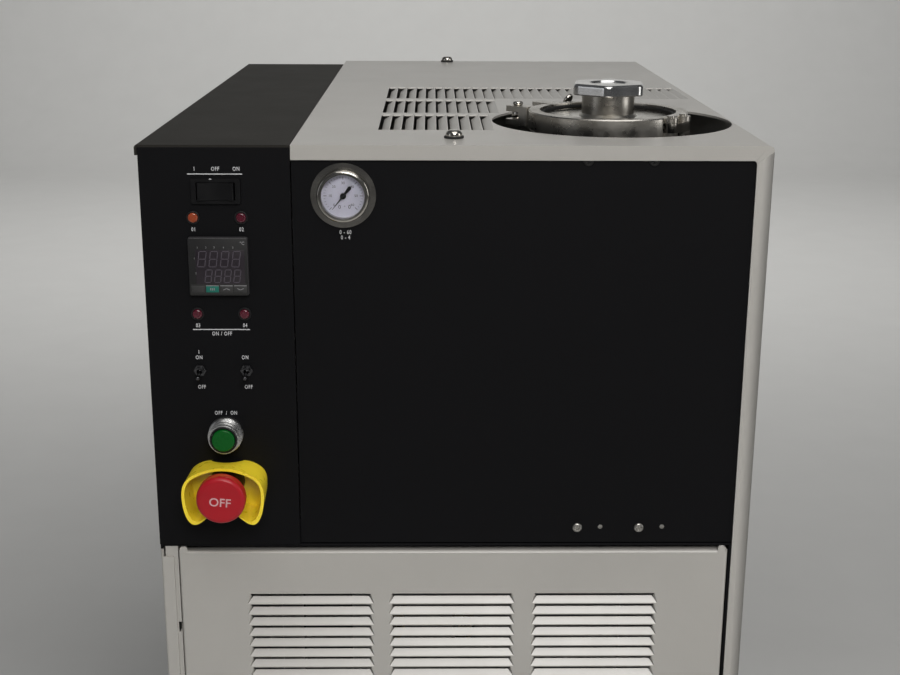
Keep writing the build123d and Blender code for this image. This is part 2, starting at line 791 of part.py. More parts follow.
# Temperature controller, a square panel instrument with a recessed face and a row of keys
controller_z = top - controller_drop
controller_proud = 5.0
controller_can = 44.8
face_size = 43.0
face_recess = 1.0
key_size = (7.0, 4.6)
key_pitch = 8.4
key_drop = 16.6
with BuildPart() as temperature_controller:
    with BuildSketch(front_plane(column_x, controller_z)):
        RectangleRounded(controller_side, controller_side, 1.5)
    extrude(amount=controller_proud)
    fillet(faces().sort_by(Axis.Y)[0].edges(), 0.8)
    with BuildSketch(front_plane(column_x, controller_z)):
        Rectangle(controller_can, controller_can)
    extrude(amount=-controller_depth)
    with BuildSketch(front_plane(column_x, controller_z, front - controller_proud)):
        RectangleRounded(face_size, face_size, 1)
    extrude(amount=-face_recess, mode=Mode.SUBTRACT)
    with BuildSketch(front_plane(column_x, controller_z - key_drop, front - controller_proud + face_recess)):
        with GridLocations(key_pitch, key_pitch, 4, 1):
            RectangleRounded(key_size[0], key_size[1], 0.8)
    extrude(amount=0.6)
keep(temperature_controller, "temperature_controller")

# Toggle switches: a threaded bushing with its nut, and a bat lever that points down at rest
toggle_z = top - toggle_drop
toggle_pivot_y = front - 2.0
lever_tilt = 13.0
bushing_radius = 3.15
bushing_proud = 6.0
bushing_tail = 10.0
bushing_nut = (5.2, 2.4)
socket_radius = 2.25
ball_radius = 2.2
lever_base_radius = 0.95
lever_tip_radius = 1.8
lever_length = 14.0
for name, x in (("heater_toggle", lamp_x[0]), ("remote_toggle", lamp_x[1])):
    with BuildPart() as bushing:
        with BuildSketch(front_plane(x, toggle_z, front + bushing_tail)):
            Circle(bushing_radius)
        extrude(amount=bushing_tail + bushing_proud)
        with BuildSketch(front_plane(x, toggle_z)):
            RegularPolygon(bushing_nut[0], 6)
        extrude(amount=bushing_nut[1])
        with BuildSketch(front_plane(x, toggle_z, toggle_pivot_y + 3)):
            Circle(socket_radius)
        extrude(amount=30, mode=Mode.SUBTRACT)
    keep(bushing, name + "_base")
    lever_plane = Plane(origin=(x, toggle_pivot_y, toggle_z), x_dir=(1, 0, 0),
                        z_dir=(0, -cos(radians(lever_tilt)), -sin(radians(lever_tilt))))
    with BuildPart() as lever:
        with BuildSketch(lever_plane):
            Circle(lever_base_radius)
        with BuildSketch(lever_plane.offset(lever_length)):
            Circle(lever_tip_radius)
        loft()
        fillet(faces().sort_by(Axis.Y)[0].edges(), 1.2)
        with Locations((x, toggle_pivot_y, toggle_z)):
            Sphere(ball_radius)
    keep(lever, name)

# Illuminated power button in a tall stepped metal bezel
power_z = top - power_drop
power_steps = ((14.5, 3.0), (13.6, 12.0), (12.6, 16.4))
power_front_ring = 11.9
power_proud = 17.0
power_bore = 9.8
power_clearance = 0.35
power_tail = 30.0
with BuildPart() as power_button_bezel:
    for radius, reach in power_steps:
        with BuildSketch(front_plane(column_x, power_z)):
            Circle(radius)
        extrude(amount=reach)
    with BuildSketch(front_plane(column_x, power_z)):
        Circle(power_front_ring)
    extrude(amount=power_proud)
    with BuildSketch(front_plane(column_x, power_z)):
        Circle(button_hole)
    extrude(amount=-power_tail)
    with BuildSketch(front_plane(column_x, power_z, front - power_proud)):
        Circle(power_bore)
    extrude(amount=-(power_proud + 10), mode=Mode.SUBTRACT)
keep(power_button_bezel, "power_button_bezel")

with BuildPart() as power_button:
    with BuildSketch(front_plane(column_x, power_z, front)):
        Circle(power_bore - power_clearance)
    extrude(amount=power_proud + 3.2)
    fillet(faces().sort_by(Axis.Y)[0].edges(), 1.2)
keep(power_button, "power_button")

# Emergency stop: collar, moulded guard and mushroom button
emergency_z = top - emergency_drop
collar_radius = 14.5
collar_proud = 24.0
stem_bore = 8.5
stem_clearance = 0.35
with BuildPart() as emergency_collar:
    with BuildSketch(front_plane(column_x, emergency_z)):
        Circle(collar_radius)
    extrude(amount=collar_proud)
    with BuildSketch(front_plane(column_x, emergency_z)):
        Circle(button_hole)
    extrude(amount=-power_tail)
    with BuildSketch(front_plane(column_x, emergency_z, front - collar_proud)):
        Circle(stem_bore)
    extrude(amount=-(collar_proud + 10), mode=Mode.SUBTRACT)
keep(emergency_collar, "emergency_collar")

# The guard's wall sweeps from a flat-topped base to a crowned rim, and curls into two lobes at the bottom
guard_inset = (0.93, 0.9)
guard_proud = 34.5
guard_base_plate = 2.5
guard_gap = 12.5
guard_base = ((0, 17), (18, 17), (30, 10), (33, -4), (22, -25), (13, -18.5), (0, -16.5))
guard_rim = ((0, 23.6), (18, 20), (30, 12.5), (34, -3), (23, -26.5), (13, -20), (0, -18))
notch_radius = 15.4
notch_depth = 9.0
guard_reach = 24.0


def guard_solid(inset, near, far):
    # The space inside the guard's outline between two reaches in front of the panel
    shrink_x, shrink_y = inset
    with BuildPart() as solid:
        for points, reach in ((guard_base, near), (guard_rim, far)):
            with BuildSketch(front_plane(column_x, emergency_z, front - reach)):
                with BuildLine():
                    Spline(*[(x * shrink_x, y * shrink_y) for x, y in points], tangents=((1, 0), (-1, 0)))
                    mirror(about=Plane.YZ)
                make_face()
        loft()
    return solid.part


guard_outside = guard_solid((1, 1), 0, guard_proud)
guard_inside = guard_solid(guard_inset, guard_base_plate, guard_proud + 0.1)
with BuildPart() as emergency_guard:
    add(guard_outside)
    add(guard_inside, mode=Mode.SUBTRACT)
    with BuildSketch(front_plane(column_x, emergency_z)):
        Circle(collar_radius)
    extrude(amount=guard_proud, mode=Mode.SUBTRACT)
    with Locations((column_x, front - guard_base_plate - guard_proud / 2, emergency_z - guard_reach)):
        Box(2 * guard_gap, guard_proud, guard_reach, mode=Mode.SUBTRACT)
    with Locations((column_x, front - notch_depth + notch_radius, emergency_z + guard_reach)):
        Cylinder(notch_radius, guard_reach, mode=Mode.SUBTRACT)
keep(emergency_guard, "emergency_guard")

head_radius = 20.2
head_thickness = 12.0
with BuildPart() as emergency_button:
    with BuildSketch(front_plane(column_x, emergency_z, front - front_reach + head_thickness)):
        Circle(head_radius)
    extrude(amount=head_thickness)
    fillet(faces().sort_by(Axis.Y)[0].edges(), 3.5)
    fillet(faces().sort_by(Axis.Y)[-1].edges(), 1.5)
    with BuildSketch(front_plane(column_x, emergency_z, front)):
        Circle(stem_bore - stem_clearance)
    extrude(amount=front_reach - head_thickness + 1)
keep(emergency_button, "emergency_button")

# Pressure gauge: flanged case with a rolled bezel, dial, needle and glass
case_front = front + panel_setback
case_proud = 9.0
case_back = 25.0
flange_thickness = 1.5
dial_proud = 2.0
dial_thickness = 0.8
spindle_bore = 0.85
with BuildPart() as gauge_case:
    with BuildSketch(front_plane(gauge_x, gauge_z, case_front)):
        Circle(gauge_flange_radius)
    extrude(amount=flange_thickness)
    with BuildSketch(front_plane(gauge_x, gauge_z, case_front)):
        Circle(gauge_bezel_radius)
    extrude(amount=case_proud)
    fillet(faces().sort_by(Axis.Y)[0].edges(), 2.2)
    with BuildSketch(front_plane(gauge_x, gauge_z, case_front)):
        Circle(gauge_can_radius - 0.2)
    extrude(amount=-case_back)
    with BuildSketch(front_plane(gauge_x, gauge_z, case_front - case_proud)):
        Circle(gauge_dial_radius)
    extrude(amount=-(case_proud - dial_proud), mode=Mode.SUBTRACT)
    with BuildSketch(front_plane(gauge_x, gauge_z, case_front)):
        Circle(spindle_bore)
    extrude(amount=10, both=True, mode=Mode.SUBTRACT)
keep(gauge_case, "gauge_case")

with BuildPart() as gauge_dial:
    with BuildSketch(front_plane(gauge_x, gauge_z, case_front - dial_proud)):
        Circle(gauge_dial_radius)
        Circle(spindle_bore, mode=Mode.SUBTRACT)
    extrude(amount=dial_thickness)
keep(gauge_dial, "gauge_dial")

needle_angle = 231.0
needle_length = 14.0
needle_tail = 8.2
needle_lift = 4.0
spindle_radius = 0.8
needle_plane = Plane(origin=(gauge_x, case_front - needle_lift, gauge_z),
                     x_dir=(cos(radians(needle_angle)), 0, sin(radians(needle_angle))), z_dir=(0, -1, 0))
with BuildPart() as gauge_needle:
    with BuildSketch(needle_plane):
        Polygon((-needle_tail, -1.5), (-3, -0.9), (needle_length, -0.15), (needle_length, 0.15), (-3, 0.9),
                (-needle_tail, 1.5), align=None)
        with Locations((-needle_tail, 0)):
            Circle(1.5)
        Circle(2.4)
    extrude(amount=0.6)
    with BuildSketch(needle_plane):
        Circle(spindle_radius)
    extrude(amount=-6)
keep(gauge_needle, "gauge_needle")

glass_lift = 6.4
with BuildPart() as gauge_glass:
    with BuildSketch(front_plane(gauge_x, gauge_z, case_front - glass_lift)):
        Circle(gauge_dial_radius)
    extrude(amount=1.4)
keep(gauge_glass, "gauge_glass")
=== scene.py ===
"""Packaged water chiller: finishes, pressed sheets, fasteners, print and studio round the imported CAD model.

Measures are metres in the model's own frame. Numbers that place() takes or that MM multiplies are in mm.
"""
import math

import bpy
from mathutils import Matrix, Vector


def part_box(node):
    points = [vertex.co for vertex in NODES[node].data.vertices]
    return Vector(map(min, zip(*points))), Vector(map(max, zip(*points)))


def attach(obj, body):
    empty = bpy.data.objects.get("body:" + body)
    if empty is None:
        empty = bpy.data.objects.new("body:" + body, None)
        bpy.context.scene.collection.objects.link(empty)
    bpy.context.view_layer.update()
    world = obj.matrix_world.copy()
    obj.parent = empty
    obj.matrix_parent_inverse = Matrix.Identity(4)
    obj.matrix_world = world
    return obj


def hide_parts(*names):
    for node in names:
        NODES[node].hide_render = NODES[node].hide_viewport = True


bl_info = {
    "name": "Water Chiller Looks",
    "version": (1, 0, 0),
    "blender": (4, 5, 0),
    "location": "View3D > Sidebar > Chiller",
    "description": "Dresses the chiller's CAD nodes and adds its fasteners, printed marks and studio",
    "category": "Object",
}

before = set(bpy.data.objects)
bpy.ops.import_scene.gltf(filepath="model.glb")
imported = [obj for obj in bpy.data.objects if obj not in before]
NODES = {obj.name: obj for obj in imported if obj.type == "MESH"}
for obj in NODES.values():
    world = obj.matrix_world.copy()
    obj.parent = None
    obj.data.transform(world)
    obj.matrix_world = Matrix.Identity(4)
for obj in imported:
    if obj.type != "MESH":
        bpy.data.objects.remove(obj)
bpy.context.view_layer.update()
MM = 0.001
BODY = "cabinet"

# The cabinet's left face, its front plane and its top, which every place is measured from
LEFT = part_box("control_panel")[0].x
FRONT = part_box("control_panel")[0].y
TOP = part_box("top_and_side_cover")[1].z

# Places of the controls on the panel
COLUMN = 61.2
LAMP_LEFT = COLUMN - 19.3
LAMP_RIGHT = COLUMN + 19.3
GAUGE = (163.0, -40.6)
CONTROLLER_Z = -98.3

# Directions that pieces face
FORWARD = (0, -1, 0)
LEFTWARD = (-1, 0, 0)
BACKWARD = (0, 1, 0)
UPWARD = (0, 0, 1)


def place(x, y, z):
    """A point x mm right of the left face, y mm behind the front and z mm above the top."""
    return Vector((LEFT + x * MM, FRONT + y * MM, TOP + z * MM))


def middle_of(node):
    low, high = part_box(node)
    return (low + high) / 2


def front_of(node):
    """How far the node's front lies behind the front plane, in mm."""
    return (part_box(node)[0].y - FRONT) / MM


CHANNELS = {"size": 3, "min": 0, "max": 1}


class ChillerFinish(bpy.types.PropertyGroup):
    """Colours of the painted, moulded and metal surfaces."""

    grey_paint: bpy.props.FloatVectorProperty(
        name="Grey paint", description="Colour of the grey powder coat", subtype="COLOR",
        default=(0.425, 0.412, 0.388), **CHANNELS)
    black_paint: bpy.props.FloatVectorProperty(
        name="Black paint", description="Colour of the black powder coat", subtype="COLOR",
        default=(0.0032, 0.0032, 0.0040), **CHANNELS)
    steel: bpy.props.FloatVectorProperty(
        name="Stainless steel", description="Colour of the polished stainless parts", subtype="COLOR",
        default=(0.60, 0.575, 0.53), **CHANNELS)
    chrome: bpy.props.FloatVectorProperty(
        name="Chrome", description="Colour of the plated filler cap", subtype="COLOR",
        default=(0.74, 0.74, 0.74), **CHANNELS)
    guard_yellow: bpy.props.FloatVectorProperty(
        name="Guard yellow", description="Colour of the moulded guard", subtype="COLOR",
        default=(0.97, 0.74, 0.035), **CHANNELS)
    stop_red: bpy.props.FloatVectorProperty(
        name="Stop red", description="Colour of the emergency button", subtype="COLOR",
        default=(0.38, 0.007, 0.015), **CHANNELS)
    lens_green: bpy.props.FloatVectorProperty(
        name="Green lens", description="Colour of the power button's lens", subtype="COLOR",
        default=(0.001, 0.085, 0.010), **CHANNELS)
    lens_orange: bpy.props.FloatVectorProperty(
        name="Orange lens", description="Colour of the level lamp", subtype="COLOR",
        default=(0.30, 0.055, 0.018), **CHANNELS)
    lens_red: bpy.props.FloatVectorProperty(
        name="Red lens", description="Colour of the dark red lamps", subtype="COLOR",
        default=(0.075, 0.004, 0.014), **CHANNELS)
    print_white: bpy.props.FloatVectorProperty(
        name="Print", description="Colour of the printed marks", subtype="COLOR",
        default=(0.58, 0.58, 0.60), **CHANNELS)


class ChillerMarks(bpy.types.PropertyGroup):
    """Sizes of the printed marks."""

    letter_height: bpy.props.FloatProperty(
        name="Letter height", description="Height of the panel's capitals", unit="LENGTH",
        default=3.3 * MM, min=0.5 * MM)
    rule_width: bpy.props.FloatProperty(
        name="Rule width", description="Width of the panel's ruled lines", unit="LENGTH",
        default=0.8 * MM, min=0.1 * MM)
    weight: bpy.props.FloatProperty(
        name="Weight", description="How far the letters' strokes are thickened", unit="LENGTH",
        default=0.075 * MM, min=0)
    ink: bpy.props.FloatProperty(
        name="Ink", description="Thickness of the print", unit="LENGTH", default=0.08 * MM, min=0.01 * MM)


class ChillerFasteners(bpy.types.PropertyGroup):
    """Sizes of the screws."""

    head_diameter: bpy.props.FloatProperty(
        name="Head diameter", description="Diameter of a pan head", unit="LENGTH", default=8.5 * MM)
    head_height: bpy.props.FloatProperty(
        name="Head height", description="Height of a pan head", unit="LENGTH", default=3.0 * MM)
    dome_diameter: bpy.props.FloatProperty(
        name="Dome diameter", description="Diameter of a domed lid screw", unit="LENGTH", default=13.8 * MM)
    dome_height: bpy.props.FloatProperty(
        name="Dome height", description="Height of a domed lid screw", unit="LENGTH", default=4.8 * MM)
    washer_diameter: bpy.props.FloatProperty(
        name="Washer diameter", description="Diameter of the lid screws' rubber washers", unit="LENGTH",
        default=16.4 * MM)


class ChillerStage(bpy.types.PropertyGroup):
    """The studio and the photograph's camera."""

    lens: bpy.props.FloatProperty(
        name="Lens", description="Focal length of the camera in mm", default=55.33, min=10)
    pitch: bpy.props.FloatProperty(
        name="Pitch", description="How far the camera looks down", subtype="ANGLE",
        default=math.radians(16.248))
    yaw: bpy.props.FloatProperty(
        name="Yaw", description="How far the camera turns to the right", subtype="ANGLE",
        default=math.radians(0.839))
    roll: bpy.props.FloatProperty(
        name="Roll", description="How far the camera rolls", subtype="ANGLE", default=math.radians(0.256))
    key_power: bpy.props.FloatProperty(
        name="Key light", description="Power of the front softbox", unit="POWER", default=70.0)
    ceiling_power: bpy.props.FloatProperty(
        name="Ceiling light", description="Power of the light overhead", unit="POWER", default=30.0)
    fill_power: bpy.props.FloatProperty(
        name="Fill light", description="Power of the fill at the left", unit="POWER", default=5.0)
    right_power: bpy.props.FloatProperty(
        name="Right fill", description="Power of the fill at the right", unit="POWER", default=16.0)
    wash_power: bpy.props.FloatProperty(
        name="Backdrop wash", description="Power of the light on the backdrop", unit="POWER", default=150.0)
    air: bpy.props.FloatProperty(
        name="Room light", description="Strength of the light from the room's walls", default=0.09, min=0)


# Shared steps of modelling

SELECT_MODES = {"vertices": "VERT", "edges": "EDGE", "polygons": "FACE"}
FACES_UP = 0.9


def object_mode():
    if bpy.context.object and bpy.context.object.mode != "OBJECT":
        bpy.ops.object.mode_set(mode="OBJECT")


def edit_mode():
    bpy.ops.object.mode_set(mode="EDIT")


def rest_selection():
    object_mode()
    bpy.ops.object.select_all(action="DESELECT")


def pick(*objects):
    rest_selection()
    for item in objects:
        item.select_set(True)
    bpy.context.view_layer.objects.active = objects[0]


def choose(obj, kind, test):
    """Selects the vertices, edges or polygons that pass the test, and nothing else, in edit mode."""
    object_mode()
    mesh = obj.data
    for group in (mesh.vertices, mesh.edges, mesh.polygons):
        for element in group:
            element.select = False
    for element in getattr(mesh, kind):
        element.select = test(element)
    edit_mode()
    bpy.ops.mesh.select_mode(type=SELECT_MODES[kind])


def choose_top(obj):
    choose(obj, "polygons", lambda face: face.normal.z > FACES_UP)


def modify(obj, kind, **settings):
    """Gives the piece a modifier with these settings and applies it."""
    pick(obj)
    modifier = obj.modifiers.new(kind.lower(), kind)
    for name, value in settings.items():
        setattr(modifier, name, value)
    bpy.ops.object.modifier_apply(modifier=modifier.name)


def soften(obj, width, segments=2, angle=math.radians(30)):
    """Rounds the piece's edges that are sharper than the angle."""
    modify(obj, "BEVEL", width=width, segments=segments, limit_method="ANGLE", angle_limit=angle)


def cut_away(obj, cutter):
    modify(obj, "BOOLEAN", operation="DIFFERENCE", solver="EXACT", object=cutter)
    bpy.data.objects.remove(cutter)


def merge(near):
    """Merges the points of the mesh in edit mode and leaves it."""
    bpy.ops.mesh.select_all(action="SELECT")
    bpy.ops.mesh.remove_doubles(threshold=near)
    object_mode()


def settle(obj):
    """Puts the piece's place into its mesh."""
    pick(obj)
    bpy.ops.object.transform_apply(location=True, rotation=True, scale=True)


def facing(direction):
    """The rotation that turns +Z to the direction, keeping +X level where it can."""
    axis = Vector(direction).normalized()
    side = Vector((0, 0, 1)).cross(axis)
    if side.length < 1e-6:
        return Matrix.Identity(4)
    side.normalize()
    return Matrix((side, axis.cross(side), axis)).transposed().to_4x4()


def stand(obj, point, direction=FORWARD, turn=0.0, narrow=1.0):
    """Turns and narrows a piece made about the origin, faces its +Z in the direction and settles it there."""
    upright = Matrix.Rotation(turn, 4, "Z") @ Matrix.Diagonal((narrow, 1, 1, 1))
    obj.matrix_world = Matrix.Translation(point) @ facing(direction) @ upright
    settle(obj)
    return obj


def cylinder(radius, depth, vertices, location=(0, 0, 0)):
    rest_selection()
    bpy.ops.mesh.primitive_cylinder_add(vertices=vertices, radius=radius, depth=depth, location=location)
    return bpy.context.object


def block(size, location=(0, 0, 0), turn=0.0):
    rest_selection()
    bpy.ops.mesh.primitive_cube_add(size=1, location=location, rotation=(0, 0, turn))
    box = bpy.context.object
    box.scale = size
    return box


def twin_of(master):
    """A copy of the object with its own mesh."""
    twin = master.copy()
    twin.data = master.data.copy()
    bpy.context.scene.collection.objects.link(twin)
    return twin


def join(parts):
    pick(*parts)
    if len(parts) > 1:
        bpy.ops.object.join()
    return bpy.context.view_layer.objects.active


def wear(obj, material):
    obj.data.materials.clear()
    obj.data.materials.append(material)


def finish_piece(obj, name, material, body=BODY, smooth=math.radians(35), flats=False):
    """Names, shades and dresses a piece; flats keeps large flat faces flat beside their rounded bends."""
    settle(obj)
    bpy.ops.object.shade_smooth_by_angle(angle=smooth)
    if flats:
        modify(obj, "WEIGHTED_NORMAL", keep_sharp=True, weight=100)
    obj.name = name
    obj.data.name = name
    wear(obj, material)
    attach(obj, body)
    return obj


# Materials

def material_base(name):
    """The material of that name, and its shader only where the material is new and still has to be made."""
    material = bpy.data.materials.get(name)
    if material:
        return material, None
    material = bpy.data.materials.new(name)
    material.use_nodes = True
    return material, material.node_tree.nodes["Principled BSDF"]


def fill(node, values):
    for name, value in values.items():
        node.inputs[name].default_value = value


def noise(tree, scale, detail=4.0, roughness=0.55, stretch=(1, 1, 1)):
    coordinates = tree.nodes.new("ShaderNodeTexCoord")
    mapping = tree.nodes.new("ShaderNodeMapping")
    fill(mapping, {"Scale": stretch})
    texture = tree.nodes.new("ShaderNodeTexNoise")
    fill(texture, {"Scale": scale, "Detail": detail, "Roughness": roughness})
    tree.links.new(coordinates.outputs["Object"], mapping.inputs["Vector"])
    tree.links.new(mapping.outputs["Vector"], texture.inputs["Vector"])
    return texture.outputs["Fac"]


def mottle(shader, pattern, first, second, low=0.3, high=0.7):
    """Blends the base colour from the first to the second over a stretch of a noise pattern."""
    tree = shader.id_data
    node = tree.nodes.new("ShaderNodeValToRGB")
    for element, position, colour in zip(node.color_ramp.elements, (low, high), (first, second)):
        element.position = position
        element.color = (*colour, 1)
    tree.links.new(noise(tree, *pattern), node.inputs["Fac"])
    tree.links.new(node.outputs["Color"], shader.inputs["Base Color"])


def scuff(shader, pattern, first, second):
    """Varies the roughness from the first value to the second by a noise pattern."""
    tree = shader.id_data
    node = tree.nodes.new("ShaderNodeMapRange")
    fill(node, {"From Min": 0.3, "From Max": 0.7, "To Min": first, "To Max": second})
    tree.links.new(noise(tree, *pattern), node.inputs["Value"])
    tree.links.new(node.outputs["Result"], shader.inputs["Roughness"])


def relief(shader, pattern, distance):
    tree = shader.id_data
    bump = tree.nodes.new("ShaderNodeBump")
    fill(bump, {"Distance": distance, "Strength": 1.0})
    tree.links.new(noise(tree, *pattern), bump.inputs["Height"])
    tree.links.new(bump.outputs["Normal"], shader.inputs["Normal"])


def tint(colour, share):
    return tuple(min(1.0, c * share) for c in colour)


def powder_coat(name, colour, roughness, grain=0.05 * MM, dirt=0.05, gloss=0.5):
    """Fine orange-peel paint on sheet steel, a little cloudy."""
    material, shader = material_base(name)
    if shader:
        mottle(shader, (7.0, 5.0, 0.6), tint(colour, 1 - dirt), tint(colour, 1 + dirt * 0.5))
        scuff(shader, (22.0, 3.0), roughness - 0.015, roughness + 0.02)
        relief(shader, (900.0, 2.0), grain)
        fill(shader, {"Specular IOR Level": gloss})
    return material


def polished_metal(name, colour, roughness, stain=None, brush=(1, 1, 1), brush_scale=500.0):
    """Bare metal with fine marks from its finishing and, where given, a stain."""
    material, shader = material_base(name)
    if shader:
        fill(shader, {"Metallic": 1.0})
        mottle(shader, (26.0, 6.0, 0.65), colour, stain or tint(colour, 0.86), 0.48, 0.68)
        scuff(shader, (60.0,), roughness * 0.75, roughness * 1.35)
        relief(shader, (brush_scale, 3.0, 0.6, brush), 0.01 * MM)
    return material


def moulded(name, colour, roughness, grain=0.01 * MM, gloss=0.5, subsurface=0.0):
    """Injection-moulded plastic or rubber."""
    material, shader = material_base(name)
    if shader:
        mottle(shader, (30.0, 3.0), tint(colour, 0.93), tint(colour, 1.04), 0.35, 0.65)
        scuff(shader, (150.0, 2.0), roughness - 0.04, roughness + 0.04)
        relief(shader, (1500.0, 2.0), grain)
        fill(shader, {"Specular IOR Level": gloss})
        if subsurface:
            fill(shader, {"Subsurface Weight": subsurface, "Subsurface Scale": 1.0,
                          "Subsurface Radius": (0.6 * MM, 0.3 * MM, 0.3 * MM)})
    return material


def ink(name, colour):
    """Silk-screened ink, a little uneven."""
    material, shader = material_base(name)
    if shader:
        mottle(shader, (800.0, 3.0), tint(colour, 0.8), colour)
        fill(shader, {"Roughness": 0.6})
    return material


def clear_window(name):
    material, shader = material_base(name)
    if shader:
        fill(shader, {"Transmission Weight": 1.0, "IOR": 1.2})
        scuff(shader, (90.0, 3.0), 0.01, 0.06)
        mottle(shader, (40.0, 2.0), (0.93, 0.95, 0.95), (0.98, 0.99, 0.99))
    return material


# Finishes that CAD nodes share with new pieces

def grey_coat(context):
    return powder_coat("grey powder coat", context.scene.chiller_finish.grey_paint, 0.30, gloss=0.6)


def bright_steel(context):
    return polished_metal("bright steel", context.scene.chiller_finish.steel, 0.14)


def satin_nickel():
    return polished_metal("satin nickel", (0.50, 0.50, 0.50), 0.3)


# Black rubber of the cap's gasket; the black ring on the lid wears it too, as painted shadow
def gasket_rubber():
    return moulded("gasket rubber", (0.012, 0.012, 0.012), 0.7, 0.05 * MM, 0.3)


def needle_black():
    return moulded("needle black", (0.008, 0.008, 0.008), 0.4)


class CHILLER_OT_paint(bpy.types.Operator):
    """Gives every CAD node of the cabinet, reservoir and controls its finish"""

    bl_idname = "chiller.paint"
    bl_label = "Paint and Plate"

    LID_BLACK = (0.021, 0.0195, 0.017)
    CAD_EDGE = math.radians(30)

    def finishes(self, context):
        """Each finish with the nodes that wear it."""
        look = context.scene.chiller_finish
        black = look.black_paint
        steel = look.steel
        return (
            (grey_coat(context),
             ("top_and_side_cover", "left_side_panel", "back_panel", "louvred_door", "left_post",
              "kick_plate")),
            (powder_coat("black powder coat", black, 0.55, gloss=0.12),
             ("control_panel", "front_panel", "control_box_side")),
            (powder_coat("black lid coat", self.LID_BLACK, 0.6, dirt=0.03, gloss=0.12),
             ("control_box_cover",)),
            (powder_coat("black frame paint", tint(black, 1.3), 0.6, gloss=0.12),
             ("base_frame", "inner_wall", "front_rail", "right_post", "tank_shelf")),
            (moulded("black foam", (0.012, 0.012, 0.012), 0.85, 0.15 * MM, 0.2),
             ("reservoir_tank", "tank_bottom", "tank_shoulder")),
            (polished_metal("stained steel", steel, 0.17, stain=(0.30, 0.26, 0.20)), ("tank_lid",)),
            (polished_metal("clamp steel", steel, 0.28, stain=(0.38, 0.35, 0.30)),
             ("clamp_front_half", "clamp_back_half")),
            (polished_metal("dark steel", tint(steel, 0.8), 0.28, stain=(0.30, 0.27, 0.22), brush=(1, 1, 12),
                            brush_scale=300.0), ("filler_neck", "tank_neck")),
            (bright_steel(context), ("clamp_hinge", "clamp_bolt")),
            (polished_metal("chrome plate", look.chrome, 0.15, stain=(0.58, 0.58, 0.57)),
             ("filler_cap",)),
            (gasket_rubber(), ("cap_gasket",)),
            (polished_metal("turned brass", (0.62, 0.46, 0.22), 0.25), ("supply_port", "return_port")),
            (moulded("gland nylon", (0.015, 0.015, 0.015), 0.5), ("cable_gland",)),
            (moulded("foot rubber", (0.02, 0.02, 0.02), 0.75, 0.08 * MM, 0.3),
             ("foot_front_left", "foot_front_right", "foot_back_left", "foot_back_right")),
            (moulded("switch nylon", (0.0042, 0.0042, 0.0048), 0.4, gloss=0.22),
             ("rocker_bezel", "selector_rocker")),
            (moulded("instrument case", (0.035, 0.033, 0.036), 0.5), ("temperature_controller",)),
            (polished_metal("black plate", (0.09, 0.09, 0.095), 0.3),
             ("heater_toggle_base", "remote_toggle_base", "heater_toggle", "remote_toggle")),
            (satin_nickel(), ("power_button_bezel",)),
            (moulded("green lens", look.lens_green, 0.3, gloss=0.2), ("power_button",)),
            (moulded("orange lens", look.lens_orange, 0.15, gloss=0.7, subsurface=0.3),
             ("level_lamp",)),
            (moulded("red lens", look.lens_red, 0.15, gloss=0.7, subsurface=0.2),
             ("fault_lamp", "high_pressure_lamp", "low_pressure_lamp")),
            (moulded("collar plastic", (0.012, 0.012, 0.012), 0.45), ("emergency_collar",)),
            (moulded("guard plastic", look.guard_yellow, 0.30, gloss=0.55, subsurface=0.1),
             ("emergency_guard",)),
            (moulded("stop plastic", look.stop_red, 0.36, gloss=0.35, subsurface=0.1),
             ("emergency_button",)),
            # The gauge case's steel is tinted darker as a painted reflection of a dark room
            (polished_metal("gauge steel", tint(steel, 0.72), 0.15), ("gauge_case",)),
            (moulded("dial enamel", (0.64, 0.62, 0.74), 0.4), ("gauge_dial",)),
            (needle_black(), ("gauge_needle",)),
            (clear_window("gauge window"), ("gauge_glass",)),
        )

    def execute(self, context):
        for material, names in self.finishes(context):
            for name in names:
                wear(NODES[name], material)

        # Curved faces are shaded smooth without moving a point
        for obj in NODES.values():
            pick(obj)
            bpy.ops.object.shade_smooth_by_angle(angle=self.CAD_EDGE)
        return {"FINISHED"}


# Pressed sheets

PRESSED_EDGE = math.radians(30)
SHEET = 1.2 * MM
STRIP = 0.9
MERGE = 0.002 * MM
WEB_LEAN = 0.9 * MM


